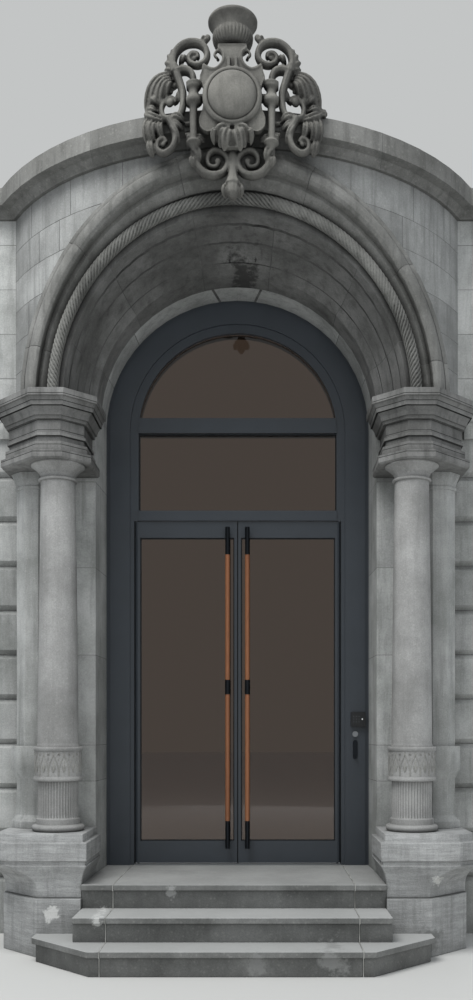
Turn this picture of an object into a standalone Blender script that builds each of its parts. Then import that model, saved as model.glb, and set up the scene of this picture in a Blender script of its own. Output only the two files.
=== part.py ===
# Arched stone entrance portal with glazed double doors. Metres, +Z up, the street towards -Y.
# The origin lies on the ground, under the middle of the door plane.
import math

import bmesh
import bpy
from mathutils import Vector

# Seat between pieces that touch, and overrun of every cutting body
seat = 0.0003
overrun = 0.05

# Opening, reveal and wall
doorHalf = 1.0
revealSplay = 0.015
revealDepth = 0.40
flankDepth = 0.20
jambWidth = 0.565
flankWidth = 0.285
wallBack = 0.50
springHeight = 3.785
arrisHalf = doorHalf + revealSplay
jambHalf = doorHalf + jambWidth
wallHalf = jambHalf + flankWidth

# Steps, from the landing down
riserHeight = 0.16
noseHeight = 0.04
noseDepth = 0.025
landingFront = 0.99
middleGoing = 0.32
bottomGoing = 0.25
bottomReach = 0.295
bottomChamfer = 0.43
landingTop = 3.0 * riserHeight

# Pedestals
plinthHeight = 0.387
plinthFront = 1.0
plinthStep = 0.035
plinthFace = 0.295
plinthChamfer = 0.29
pedestalRise = 0.28
pedestalGrow = 0.04
pedestalFace = 0.485
pedestalChamfer = 0.10
filletHeight = 0.06
grooveHeight = 0.027
grooveDrop = 0.153
grooveDepth = 0.012
plateHeight = 0.055
plateInset = 0.03
pedestalHeight = landingTop + pedestalRise
grooveLow = pedestalHeight - grooveDrop
plinthOuter = jambHalf + plinthStep
plinthCorner = arrisHalf + plinthFace
pedestalCorner = arrisHalf + pedestalFace

# Columns
columnInset = 0.205
columnY = 0.72
torusHeight = 0.047
torusRadius = 0.18
collarRadius = 0.15
collarHeight = 0.043
drumHeight = 0.255
drumRadius = 0.138
reedDepth = 0.009
bandHeight = 0.234
bandRadius = 0.166
rimHeight = 0.032
rimDepth = 0.008
shaftLowRadius = 0.1385
shaftHighRadius = 0.1175
capitalHeight = 0.114
astragalHeight = 0.022
astragalRadius = 0.134
bellRadius = 0.185
columnX = arrisHalf + columnInset
plateTop = pedestalHeight + plateHeight
drumLow = plateTop + torusHeight + collarHeight
drumHigh = drumLow + drumHeight
bandHigh = drumHigh + bandHeight

# Rear octagonal pilasters
pilasterStep = 0.225
pilasterY = 0.43
pilasterHalf = 0.12
pilasterWide = 0.155
splayHeight = 0.07
pilasterX = columnX + pilasterStep

# Imposts: plan of the frieze, and the stack up to the springing
impostHeight = 0.458
friezeInset = 0.025
friezeStep = 0.015
friezeFront = 0.88
friezeInnerChamfer = 0.135
friezeOuterChamfer = 0.255
abacusGrow = 0.055
abacusHeight = 0.06
slabGrow = 0.10
slabHeight = 0.05
friezeInner = arrisHalf + friezeInset
friezeOuter = jambHalf + friezeStep
bellHigh = springHeight - impostHeight
necklineHeight = bellHigh - capitalHeight

# Bowed wall, from its reach at the middle back to the flanks
bowReach = 1.12
bowReturn = 0.074
bowHalf = jambHalf + bowReturn
bowRise = bowReach - flankDepth
bowRadius = (bowHalf ** 2 + bowRise ** 2) / (2.0 * bowRise)
bowCentre = bowRadius - bowReach

# Arch rings round the springing centre, and their depth before the door plane
coveWidth = 0.155
ropeWidth = 0.11
archivoltWidth = 0.215
archivoltReach = 0.03
filletWidth = 0.035
rollRadius = 0.052
ropeRadius = 0.0425
ropeSet = 0.14
archBow = 2.6
ropeBowShare = 0.6
coveOuter = arrisHalf + coveWidth
archivoltInner = coveOuter + ropeWidth
archOuter = archivoltInner + archivoltWidth
archFront = bowReach + archivoltReach
ropeDepth = archFront - ropeSet

# String course over the arch
stringClear = 0.005
stringHeight = 0.18
fasciaHeight = 0.135
stringProjection = 0.13
stringLow = springHeight + archOuter + stringClear
stringHigh = stringLow + stringHeight

# V-joints of the flanks
jointPitch = 0.33
jointFirst = 0.42
jointDepth = 0.035
jointHeight = 0.07
flankBandDrop = 0.125
flankBandHeight = 0.10
flankBandDepth = 0.03
flankBandLow = springHeight - flankBandDrop

# Door frame
frameWidth = 0.21
frameDepth = 0.14
frameEdge = 0.025
frameEdgeSet = 0.012
frameBead = 0.03
frameBeadSet = 0.014
lightStep = 0.035
thresholdHeight = 0.01
doorHeight = 2.626
transomHeight = 0.076
fanlightDrop = 0.012
fanlightHeight = 0.114
glassThickness = 0.012
glassDepth = 0.05
liningThickness = 0.025
frameInner = doorHalf - frameWidth
lightHalf = frameInner - lightStep
transomLow = landingTop + doorHeight
transomHigh = transomLow + transomHeight
fanlightLow = springHeight - fanlightDrop
fanlightHigh = fanlightLow + fanlightHeight

# Leaves
leafGap = 0.006
meetingGap = 0.004
leafSet = 0.02
leafThickness = 0.045
topRail = 0.122
bottomRail = 0.168
hingeStile = 0.04
meetingStile = 0.022
leafGlassThickness = 0.010
pivotRadius = 0.008

# Pull handles
pullX = 0.075
pullStand = 0.05
pullRadius = 0.018
pullLift = 0.13
pullDrop = 0.056
pullEndLength = 0.21
collarLift = 1.17
collarLength = 0.11
collarGrow = 0.002
gripWaist = 0.005
spineWidth = 0.014
spineDepth = 0.006
standRadius = 0.009
standInset = 0.03
pullLow = landingTop + pullLift
pullHigh = transomLow - pullDrop
collarLow = pullLow + collarLift
collarHigh = collarLow + collarLength

# Entry reader, lock cylinder and lever on the right jamb
readerInset = 0.128
readerLift = 1.11
readerWide = 0.11
readerTall = 0.114
readerDeep = 0.03
lockInset = 0.106
cylinderDrop = 0.111
cylinderRadius = 0.022
cylinderDeep = 0.012
leverDrop = 0.156
leverLength = 0.145
leverRadius = 0.018
leverDeep = 0.008
knobRadius = 0.011
knobDeep = 0.03
readerX = frameInner + readerInset
readerZ = landingTop + readerLift
lockX = frameInner + lockInset
cylinderZ = readerZ - cylinderDrop
leverHigh = readerZ - leverDrop
leverLow = leverHigh - leverLength

# Cartouche, bent to the bow of the string course
cartoucheHalf = 0.5625
shieldFront = 0.085
shieldBack = 0.14
bossLift = 0.035
bossRadius = 0.157
bossDeep = 0.085
urnLift = 0.33
urnHeight = 0.24
urnRadius = 0.158
mouldRadius = 0.021
mouldTip = 0.014
leafDeep = 0.062
palmetteDeep = 0.105
eyeRadius = 0.033
eyeDeep = 0.02
torchX = 0.247
torchCup = 0.042
torchRise = 0.068
torchHeight = 0.438
torchClear = 0.003
bellHalf = 0.052
dropDepth = 0.67
scrollJoint = torchX + torchCup + torchClear
bossZ = stringHigh + bossLift
urnLow = bossZ + urnLift
urnHigh = urnLow + urnHeight
torchHigh = bossZ + torchRise
torchLow = torchHigh - torchHeight
dropLow = bossZ - dropDepth

# Counts of facets
archSegments = 28
bowSegments = 24
roundSides = 20
reedCount = 16
barSides = 12


# Shapes shared by the pieces

def clearScene():
    for thing in list(bpy.data.objects):
        bpy.data.objects.remove(thing, do_unlink=True)


def makeFinish(name, colour, roughness, metallic):
    finish = bpy.data.materials.new(name)
    finish.use_nodes = True
    shader = finish.node_tree.nodes["Principled BSDF"]
    shader.inputs["Base Color"].default_value = (*colour, 1.0)
    shader.inputs["Roughness"].default_value = roughness
    shader.inputs["Metallic"].default_value = metallic
    return finish


def addObject(name, bm, finish, parent=None):
    bmesh.ops.recalc_face_normals(bm, faces=bm.faces)
    mesh = bpy.data.meshes.new(name)
    bm.to_mesh(mesh)
    bm.free()
    mesh.materials.append(finish)
    return addMesh(name, mesh, parent)


def addMesh(name, mesh, parent=None):
    body = bpy.data.objects.new(name, mesh)
    bpy.context.scene.collection.objects.link(body)
    body.parent = parent
    return body


def smooth(body, degrees=40.0):
    body.data.shade_smooth()
    body.data.set_sharp_from_angle(angle=math.radians(degrees))
    return body


def loft(name, loops, finish, parent=None):
    """Closed body through loops of equal count, capped at both ends."""
    bm = bmesh.new()
    rings = [[bm.verts.new(point) for point in loop] for loop in loops]
    count = len(rings[0])
    for lower, upper in zip(rings, rings[1:]):
        for i in range(count):
            j = (i + 1) % count
            bm.faces.new((lower[i], lower[j], upper[j], upper[i]))
    bm.faces.new(rings[0][::-1])
    bm.faces.new(rings[-1])
    return addObject(name, bm, finish, parent)


def extrude(name, outline, direction, finish, parent=None):
    """Closed body from one flat outline of 3-D points, pushed along a direction."""
    bm = bmesh.new()
    face = bm.faces.new([bm.verts.new(point) for point in outline])
    pushed = bmesh.ops.extrude_face_region(bm, geom=[face])
    moved = [item for item in pushed["geom"] if isinstance(item, bmesh.types.BMVert)]
    bmesh.ops.translate(bm, verts=moved, vec=Vector(direction))
    return addObject(name, bm, finish, parent)


def turn(name, profile, centre, axis, finish, sides=roundSides, parent=None):
    """Body of revolution. The profile holds (radius, height along the axis) and starts and ends at 0."""
    axis = Vector(axis).normalized()
    across = axis.orthogonal().normalized()
    bm = bmesh.new()
    chain = [bm.verts.new(Vector(centre) + across * r + axis * h) for r, h in profile]
    edges = [bm.edges.new(pair) for pair in zip(chain, chain[1:])]
    bmesh.ops.spin(bm, geom=edges, cent=Vector(centre), axis=axis, angle=2.0 * math.pi,
                   steps=sides, use_merge=True)
    bmesh.ops.remove_doubles(bm, verts=bm.verts, dist=seat / 10.0)
    return smooth(addObject(name, bm, finish, parent))


def boolean(body, tool, operation):
    tool.hide_render = True
    tool.display_type = "WIRE"
    step = body.modifiers.new(tool.name, "BOOLEAN")
    step.operation = operation
    step.solver = "EXACT"
    step.object = tool
    return body


def offsetOutline(points, distances):
    """Moves each edge of a counter-clockwise outline outwards by its own distance, with mitres."""
    count = len(points)
    lines = []
    for i in range(count):
        start = Vector(points[i])
        along = (Vector(points[(i + 1) % count]) - start).normalized()
        outward = Vector((along.y, -along.x))
        lines.append((start + outward * distances[i], along))
    moved = []
    for i in range(count):
        first, alongFirst = lines[i - 1]
        second, alongSecond = lines[i]
        cross = alongFirst.cross(alongSecond)
        moved.append(first + alongFirst * ((second - first).cross(alongSecond) / cross))
    return [tuple(point) for point in moved]


def mirrored(loop, side):
    return [(side * point[0], *point[1:]) for point in loop]


def raised(outline, height):
    return [(x, y, height) for x, y in outline]


def polarLoop(centre, height, radiusAt, count):
    loop = []
    for i in range(count):
        angle = 2.0 * math.pi * (i + 0.5) / count
        radius = radiusAt(i, angle)
        loop.append((centre[0] + radius * math.cos(angle), centre[1] + radius * math.sin(angle), height))
    return loop


def bowLine(projection):
    """Half plan of the bowed front, from the middle out to the flank and the wall's end."""
    radius = bowRadius + projection
    flankY = -flankDepth - projection
    corner = math.sqrt(radius ** 2 - (bowCentre - flankY) ** 2)
    sweep = math.asin(corner / radius)
    line = []
    for i in range(bowSegments // 2 + 1):
        angle = sweep * i / (bowSegments // 2)
        line.append((radius * math.sin(angle), bowCentre - radius * math.cos(angle)))
    return line


def bowDrop(x, radius):
    return radius - math.sqrt(radius ** 2 - x ** 2)


# Finishes

def makeFinishes():
    return {
        "limestone": makeFinish("limestone", (0.29, 0.30, 0.30), 0.85, 0.0),
        "step_stone": makeFinish("step_stone", (0.12, 0.125, 0.13), 0.8, 0.0),
        "frame_paint": makeFinish("frame_paint", (0.028, 0.034, 0.042), 0.45, 0.3),
        "glass": makeFinish("glass", (0.30, 0.28, 0.26), 0.05, 0.0),
        "handle_wood": makeFinish("handle_wood", (0.33, 0.13, 0.06), 0.45, 0.0),
        "dark_metal": makeFinish("dark_metal", (0.02, 0.022, 0.026), 0.35, 0.9),
        "reveal_wood": makeFinish("reveal_wood", (0.22, 0.10, 0.06), 0.5, 0.0),
        "reader_plastic": makeFinish("reader_plastic", (0.012, 0.013, 0.015), 0.3, 0.0),
    }


# Steps

def stepBack():
    """Right half of the run that every step follows between the pedestals and through the wall."""
    return [
        (arrisHalf - seat, -revealDepth),
        (doorHalf - seat, 0.0),
        (doorHalf - seat, wallBack),
    ]


def stepBody(name, front, bottom, finish):
    half = front + stepBack()
    outline = half + [(-x, y) for x, y in reversed(half)]
    count = len(outline)
    exposed = len(front) - 1
    inset = [0.0] * count
    for i in list(range(exposed)) + list(range(count - exposed - 1, count)):
        inset[i] = -noseDepth
    riser = offsetOutline(outline, inset)
    top = bottom + riserHeight - seat
    under = top - noseHeight
    loops = [raised(riser, bottom), raised(riser, under), raised(outline, under), raised(outline, top)]
    return loft(name, loops, finish)


def makeSteps(finish):
    middleFront = landingFront + middleGoing
    bottomFront = middleFront + bottomGoing
    endHalf = arrisHalf + bottomReach
    behind = -plinthFront - seat
    stepBody("bottom_step", [
        (endHalf - bottomChamfer, -bottomFront),
        (endHalf, -bottomFront + bottomChamfer),
        (endHalf, behind),
        (arrisHalf - seat, behind),
    ], 0.0, finish)
    stepBody("middle_step", [(arrisHalf - seat, -middleFront)], riserHeight, finish)
    stepBody("landing", [(arrisHalf - seat, -landingFront)], landingTop - riserHeight, finish)


# Pedestals

def pedestalLoop(height, grow, innerGrow, corner, chamfer):
    inner = arrisHalf - innerGrow
    outer = plinthOuter + grow
    front = -plinthFront - grow + pedestalGrow
    return raised([
        (inner, -revealDepth - seat),
        (inner, front),
        (corner, front),
        (outer, front + chamfer),
        (outer, -flankDepth - seat),
        (jambHalf + seat, -flankDepth - seat),
        (jambHalf + seat, -revealDepth - seat),
    ], height)


def makePlinth(name, side, finish):
    loops = []
    for height in (0.0, plinthHeight - seat):
        loop = pedestalLoop(height, 0.0, 0.0, plinthCorner, plinthChamfer)
        loops.append([(x, y - pedestalGrow if y < -revealDepth - overrun else y, z) for x, y, z in loop])
    return loft(name, [mirrored(loop, side) for loop in loops], finish)


def makePedestal(name, side, finish):
    coveLow = plinthHeight + filletHeight
    loops = [
        pedestalLoop(plinthHeight, 0.0, 0.0, plinthCorner, plinthChamfer),
        pedestalLoop(coveLow, 0.0, 0.0, plinthCorner, plinthChamfer),
    ]
    coveSteps = 5
    for i in range(coveSteps + 1):
        height = landingTop + (grooveLow - landingTop) * i / coveSteps
        flare = 1.0 - math.cos((height - coveLow) / (grooveLow - coveLow) * math.pi / 2.0)
        innerFlare = 1.0 - math.cos(i / coveSteps * math.pi / 2.0)
        corner = plinthCorner + (pedestalCorner - plinthCorner) * flare
        chamfer = plinthChamfer + (pedestalChamfer - plinthChamfer) * flare
        loops.append(pedestalLoop(height, pedestalGrow * flare, pedestalGrow * innerFlare, corner, chamfer))
    grooveHigh = grooveLow + grooveHeight
    cut = pedestalGrow - grooveDepth
    for height, grow in ((grooveLow, cut), (grooveHigh, cut), (grooveHigh, pedestalGrow),
                         (pedestalHeight, pedestalGrow), (pedestalHeight, pedestalGrow - plateInset),
                         (pedestalHeight + plateHeight - seat, pedestalGrow - plateInset)):
        loops.append(pedestalLoop(height, grow, grow, pedestalCorner, pedestalChamfer))
    return loft(name, [mirrored(loop, side) for loop in loops], finish)


# Columns

def makeColumnBase(name, side, finish):
    centre = (side * columnX, -columnY)
    low = plateTop
    torusMiddle = low + torusHeight / 2.0
    torusBulge = torusHeight / 2.0
    levels = []
    for i in range(5):
        angle = math.pi * i / 4.0 - math.pi / 2.0
        levels.append((torusMiddle + torusBulge * math.sin(angle),
                       torusRadius - torusBulge + torusBulge * math.cos(angle), 0.0))
    levels += [
        (low + torusHeight, collarRadius, 0.0),
        (drumLow - reedDepth, collarRadius, 0.0),
        (drumLow, drumRadius, 0.0),
        (drumLow, drumRadius, reedDepth),
        (drumHigh, drumRadius, reedDepth),
        (drumHigh, bandRadius, 0.0),
        (drumHigh + rimHeight, bandRadius, 0.0),
        (drumHigh + rimHeight, bandRadius - rimDepth, 0.0),
        (bandHigh - rimHeight, bandRadius - rimDepth, 0.0),
        (bandHigh - rimHeight, bandRadius, 0.0),
        (bandHigh - seat, bandRadius, 0.0),
    ]
    loops = []
    for height, radius, reed in levels:
        loops.append(polarLoop(centre, height, lambda i, a: radius - reed * (i % 2), 2 * reedCount))
    return smooth(loft(name, loops, finish), 25.0)


def makeColumnShaft(name, side, finish):
    centre = (side * columnX, -columnY)
    loops = []
    for height, radius in ((bandHigh, shaftLowRadius), (necklineHeight - seat, shaftHighRadius)):
        loops.append(polarLoop(centre, height, lambda i, a: radius, roundSides))
    return smooth(loft(name, loops, finish))


def makeCapital(name, side, finish):
    centre = (side * columnX, -columnY)
    bulge = astragalHeight / 2.0
    levels = []
    for i in range(4):
        angle = math.pi * i / 3.0 - math.pi / 2.0
        levels.append((necklineHeight + bulge + bulge * math.sin(angle),
                       astragalRadius - bulge + bulge * math.cos(angle)))
    bellLow = necklineHeight + astragalHeight
    bellSteps = 4
    for i in range(bellSteps + 1):
        share = i / bellSteps
        flare = 1.0 - math.cos(share * math.pi / 2.0)
        levels.append((bellLow + (bellHigh - seat - bellLow) * share,
                       shaftHighRadius + (bellRadius - shaftHighRadius) * flare))
    loops = [polarLoop(centre, z, lambda i, a: r, roundSides) for z, r in levels]
    return smooth(loft(name, loops, finish))


def makePilaster(name, side, finish):
    """Octagonal pilaster, cut off flat against the jamb behind it."""
    low = plateTop
    wide = pilasterWide
    slim = pilasterHalf
    levels = [
        (low, wide), (low + torusHeight, wide), (drumLow, slim), (drumHigh, slim),
        (drumHigh + splayHeight, wide), (bandHigh, wide), (bandHigh, slim),
        (necklineHeight, slim), (necklineHeight, slim + reedDepth),
        (necklineHeight + astragalHeight, slim + reedDepth), (necklineHeight + astragalHeight, slim),
        (bellHigh - seat, wide),
    ]
    backY = -revealDepth - seat
    corner = 1.0 / math.cos(math.pi / 8.0)
    loops = []
    for height, half in levels:
        loop = polarLoop((pilasterX, -pilasterY), height, lambda i, a: half * corner, 8)
        loops.append(mirrored([(x, min(y, backY), z) for x, y, z in loop], side))
    return loft(name, loops, finish)


# Imposts

def makeImpost(name, side, finish):
    outline = [
        (friezeInner, -revealDepth - seat),
        (friezeInner, -friezeFront + friezeInnerChamfer),
        (friezeInner + friezeInnerChamfer, -friezeFront),
        (friezeOuter - friezeOuterChamfer, -friezeFront),
        (friezeOuter, -friezeFront + friezeOuterChamfer),
        (friezeOuter, -flankDepth - seat),
        (jambHalf + seat, -flankDepth - seat),
        (jambHalf + seat, -revealDepth - seat),
    ]
    friezeLow = bellHigh + abacusHeight
    slabLow = springHeight - slabHeight
    rise = slabLow - friezeLow
    levelShares = [
        (0.0, 0.25), (0.18, 0.25), (0.18, 0.0), (0.30, 0.0), (0.30, 0.14), (0.36, 0.14),
        (0.36, 0.02), (0.62, 0.02), (0.62, 0.20), (0.68, 0.24), (0.68, 0.34), (0.76, 0.42),
        (0.84, 0.60), (0.84, 0.70), (0.92, 0.74), (1.0, 0.88),
    ]
    levels = [(bellHigh, abacusGrow - grooveDepth), (bellHigh + grooveDepth, abacusGrow),
              (friezeLow, abacusGrow)]
    for heightShare, growShare in levelShares:
        levels.append((friezeLow + rise * heightShare, slabGrow * growShare))
    levels += [(slabLow, slabGrow), (springHeight - seat, slabGrow)]
    loops = []
    for height, grow in levels:
        moved = offsetOutline(outline, [grow] * 5 + [0.0] * 3)
        loops.append(mirrored(raised(moved, height), side))
    return loft(name, loops, finish)


# Walls

def makeWall(name, side, finish):
    top = springHeight - seat
    jamb = [
        (doorHalf, 0.0), (doorHalf, wallBack), (jambHalf, wallBack),
        (jambHalf, -revealDepth), (arrisHalf, -revealDepth),
    ]
    body = loft(name, [mirrored(raised(jamb, z), side) for z in (0.0, top)], finish)
    profile = [(wallBack, 0.0), (wallBack, top)]
    face = -flankDepth
    front = [(face, 0.0)]
    joint = jointFirst
    while joint + jointHeight < flankBandLow - jointPitch / 2.0:
        front += [(face, joint - jointHeight / 2.0), (face + jointDepth, joint),
                  (face, joint + jointHeight / 2.0)]
        joint += jointPitch
    front.append((face, top))
    outline = profile + front[::-1]
    start = jambHalf - overrun
    flank = extrude(name + "_flank", [(side * start, y, z) for y, z in outline],
                    (side * (wallHalf - start), 0.0, 0.0), finish)
    bandStart = side * (friezeOuter + slabGrow + seat)
    bandEnd = side * wallHalf
    band = box(name + "_band", bandStart, bandEnd, face - flankBandDepth, face + overrun,
               flankBandLow, flankBandLow + flankBandHeight, finish)
    boolean(body, flank, "UNION")
    return boolean(body, band, "UNION")


def archTool(name, stations):
    """Cutting body round the arch axis: (y, radius) stations with the arch's own facets."""
    loops = []
    for y, radius in stations:
        loop = []
        for i in range(2 * archSegments):
            angle = math.pi * i / archSegments
            loop.append((radius * math.cos(angle), y, springHeight + radius * math.sin(angle)))
        loops.append(loop)
    return loft(name, loops, bpy.data.materials["limestone"])


def makeUpperWall(name, side, finish):
    low, high = springHeight, stringLow - seat
    middle = seat / 2.0
    outline = [(middle, -flankDepth), (wallHalf, -flankDepth), (wallHalf, wallBack), (middle, wallBack)]
    body = loft(name, [mirrored(raised(outline, z), side) for z in (low, high)], finish)
    slope = (arrisHalf - doorHalf) / revealDepth
    tool = archTool(name + "_opening", [
        (-flankDepth - overrun, doorHalf + slope * (flankDepth + overrun)),
        (0.0, doorHalf), (wallBack + overrun, doorHalf),
    ])
    return boolean(body, tool, "DIFFERENCE")


# Arch

def sweepArch(name, section, finish, legLow=None):
    """Sweeps (radius, y, bow share) points over the half circle, and down both legs if asked."""
    stations = []
    for i in range(archSegments + 1):
        angle = math.pi * i / archSegments
        stations.append((math.cos(angle), math.sin(angle), springHeight))
    if legLow is not None:
        stations = [(1.0, 0.0, legLow)] + stations + [(-1.0, 0.0, legLow)]
    loops = []
    for across, up, centreZ in stations:
        loop = []
        for radius, y, share in section:
            x = radius * across
            loop.append((x, y + share * bowDrop(x, archBow), centreZ + radius * up))
        loops.append(loop)
    return loft(name, loops, finish)


def makeArchivolt(name, finish):
    back = -flankDepth - seat
    front = -archFront
    rollMiddle = archOuter - filletWidth - rollRadius
    section = [(archivoltInner, back, 0.0), (archOuter, back, 0.0), (archOuter, front, 1.0),
               (archOuter - filletWidth, front - grooveDepth, 1.0)]
    rollSteps = 6
    for i in range(rollSteps + 1):
        angle = math.pi * i / rollSteps
        section.append((rollMiddle + rollRadius * math.cos(angle), front - rollRadius * math.sin(angle), 1.0))
    hollow = rollMiddle - rollRadius - archivoltInner
    section += [
        (rollMiddle - rollRadius, front + filletWidth, 1.0),
        (rollMiddle - rollRadius - hollow / 3.0, front + filletWidth, 1.0),
        (archivoltInner + hollow / 4.0, front + 2.0 * filletWidth, 1.0),
        (archivoltInner, front + 3.0 * filletWidth, 1.0),
    ]
    return smooth(sweepArch(name, section, finish), 30.0)


def makeRope(name, finish):
    """The roll that the rope is cut on; it lies in the angle between archivolt and cove."""
    middle = archivoltInner - seat - ropeRadius
    sides = 6
    section = []
    for i in range(sides):
        angle = 2.0 * math.pi * i / sides
        section.append((middle + ropeRadius * math.cos(angle), -ropeDepth + ropeRadius * math.sin(angle),
                        ropeBowShare))
    return smooth(sweepArch(name, section, finish))


def makeCove(name, finish):
    back = -flankDepth - seat
    slope = (arrisHalf - doorHalf) / revealDepth
    outer = archivoltInner - seat
    ledge = -ropeDepth + ropeRadius + seat
    section = [(outer, back, 0.0), (outer, ledge, ropeBowShare), (coveOuter, ledge, ropeBowShare)]
    coveSteps = 6
    for i in range(1, coveSteps + 1):
        share = i / coveSteps
        round_ = math.sqrt(1.0 - share ** 2)
        blend = (round_ + 1.0 - share) / 2.0
        radius = arrisHalf + (coveOuter - arrisHalf) * blend
        section.append((radius, ledge + (-revealDepth - ledge) * share, ropeBowShare * (1.0 - share)))
    section.append((doorHalf + slope * flankDepth, back, 0.0))
    return smooth(sweepArch(name, section, finish), 30.0)


def makeSpandrel(name, side, finish):
    middle = seat / 2.0
    back = -flankDepth - seat
    line = [(max(x, middle), y) for x, y in bowLine(0.0)]
    line[-1] = (line[-1][0], back)
    outline = line + [(middle, back)]
    body = loft(name, [mirrored(raised(outline, z), side) for z in (springHeight, stringLow - seat)],
                finish)
    radius = archOuter + seat
    tool = archTool(name + "_opening", [(-archFront - overrun, radius), (overrun, radius)])
    return boolean(body, tool, "DIFFERENCE")


def makeStringCourse(name, finish):
    under = stringHeight - fasciaHeight
    levelShares = [
        (0.18, 0.0), (0.22, 0.3), (0.45, 0.75), (0.5, 1.0), (1.0, 1.12),
    ]
    levels = [(stringProjection * reach, stringLow + under * rise) for reach, rise in levelShares]
    dripShares = (0.92, 0.1)
    levels += [(stringProjection, stringHigh - under * dripShares[1]),
               (stringProjection * dripShares[0], stringHigh)]
    loops = []
    for projection, height in levels:
        line = bowLine(projection)
        half = line + [(wallHalf, line[-1][1]), (wallHalf, wallBack)]
        outline = half + [(-x, y) for x, y in reversed(half[1:])]
        loops.append(raised(outline, height))
    return loft(name, loops, finish)


# Door set

def jambLoop(side, height, inner):
    outer = doorHalf - seat
    return mirrored(raised([
        (outer, frameDepth), (inner, frameDepth), (inner, frameBeadSet),
        (frameInner + frameBead, frameBeadSet), (frameInner + frameBead, 0.0),
        (outer - frameEdge, 0.0), (outer - frameEdge, frameEdgeSet), (outer, frameEdgeSet),
    ], height), side)


def makeJamb(name, side, finish):
    loops = [jambLoop(side, landingTop, frameInner), jambLoop(side, transomLow, frameInner),
             jambLoop(side, transomLow, lightHalf), jambLoop(side, springHeight - seat, lightHalf)]
    return loft(name, loops, finish)


def makeFrameArch(name, finish):
    outer = doorHalf - seat
    section = [
        (outer, frameDepth, 0.0), (lightHalf, frameDepth, 0.0), (lightHalf, frameBeadSet, 0.0),
        (frameInner + frameBead, frameBeadSet, 0.0), (frameInner + frameBead, 0.0, 0.0),
        (outer - frameEdge, 0.0, 0.0), (outer - frameEdge, frameEdgeSet, 0.0), (outer, frameEdgeSet, 0.0),
    ]
    return smooth(sweepArch(name, section, finish), 30.0)


def box(name, x0, x1, y0, y1, z0, z1, finish, parent=None):
    outline = [(x0, y0, z0), (x1, y0, z0), (x1, y1, z0), (x0, y1, z0)]
    return extrude(name, outline, (0.0, 0.0, z1 - z0), finish, parent)


def lightTopHalf(height):
    """Half width inside the frame's arch facets at a height above the springing."""
    inside = (lightHalf - seat) * math.cos(math.pi / archSegments / 2.0)
    return math.sqrt(inside ** 2 - (height - springHeight) ** 2)


def makeBars(finish):
    half = lightHalf - seat
    box("transom_bar", -half, half, 0.0, frameDepth, transomLow, transomHigh, finish)
    top = lightTopHalf(fanlightHigh)
    outline = [(-half, fanlightLow), (half, fanlightLow), (half, springHeight), (top, fanlightHigh),
               (-top, fanlightHigh), (-half, springHeight)]
    extrude("fanlight_bar", [(x, 0.0, z) for x, z in outline], (0.0, frameDepth, 0.0), finish)
    inner = frameInner - seat
    box("threshold", -inner, inner, 0.0, frameDepth, landingTop, landingTop + thresholdHeight, finish)


def makeLights(finish):
    half = lightHalf - seat
    deep = glassDepth + glassThickness
    box("transom_glass", -half, half, glassDepth, deep, transomHigh + seat, fanlightLow - seat, finish)
    low = fanlightHigh + seat
    top = lightTopHalf(low)
    outline = [(top, low)]
    for i in range(archSegments + 1):
        angle = math.pi * i / archSegments
        height = springHeight + half * math.sin(angle)
        if height > low:
            outline.append((half * math.cos(angle), height))
    outline.append((-top, low))
    extrude("fanlight_glass", [(x, glassDepth, z) for x, z in outline], (0.0, glassThickness, 0.0),
            finish)


def makeLining(finish):
    outer = doorHalf - seat
    inner = outer - liningThickness
    front = frameDepth + seat
    section = [(outer, wallBack, 0.0), (inner, wallBack, 0.0), (inner, front, 0.0), (outer, front, 0.0)]
    return smooth(sweepArch("inner_lining", section, finish, landingTop), 30.0)


# Leaves

def makePivot(name, side):
    pivot = bpy.data.objects.new(name, None)
    bpy.context.scene.collection.objects.link(pivot)
    heel = leafThickness / 2.0
    pivot.location = (side * (frameInner - leafGap - heel), leafSet + heel, 0.0)
    return pivot


def makeLeaf(word, side, finishes):
    pivot = makePivot(word + "_pivot", side)
    heel = leafThickness / 2.0
    reach = frameInner - leafGap - heel - meetingGap
    low = landingTop + thresholdHeight + leafGap
    high = transomLow - leafGap
    outline = [(-reach, -heel), (0.0, -heel)]
    heelSteps = 6
    for i in range(1, heelSteps):
        angle = math.pi * i / heelSteps - math.pi / 2.0
        outline.append((heel * math.cos(angle), heel * math.sin(angle)))
    outline += [(0.0, heel), (-reach, heel)]
    frame = loft(word + "_leaf_frame", [mirrored(raised(outline, z), side) for z in (low, high)],
                 finishes["frame_paint"], pivot)
    glassOut = heel - hingeStile
    glassIn = -reach + meetingStile
    glassLow = low + bottomRail
    glassHigh = high - topRail
    tool = box(word + "_leaf_opening", side * glassIn, side * glassOut, -leafThickness, leafThickness,
               glassLow, glassHigh, finishes["frame_paint"], pivot)
    boolean(frame, tool, "DIFFERENCE")
    pinLow = low - leafGap + seat
    pinHigh = high + leafGap - seat
    for tag, bottom, top in (("foot", pinLow, low + pivotRadius), ("head", high - pivotRadius, pinHigh)):
        pin = turn(word + "_" + tag + "_pin", [(0.0, 0.0), (pivotRadius, 0.0), (pivotRadius, top - bottom),
                                               (0.0, top - bottom)],
                   (0.0, 0.0, bottom), (0.0, 0.0, 1.0), finishes["frame_paint"], 12, pivot)
        boolean(frame, pin, "UNION")
    half = leafGlassThickness / 2.0
    box(word + "_leaf_glass", side * (glassIn + seat), side * (glassOut - seat), -half, half,
        glassLow + seat, glassHigh - seat, finishes["glass"], pivot)
    return pivot


def arcPoints(radius, flat):
    """Round outline with a chord at +Y, at the given distance behind the centre."""
    start = math.asin(flat / radius)
    points = []
    steps = 12
    for i in range(steps + 1):
        angle = math.pi - start + (math.pi + 2.0 * start) * i / steps
        points.append((radius * math.cos(angle), radius * math.sin(angle)))
    return points


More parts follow.
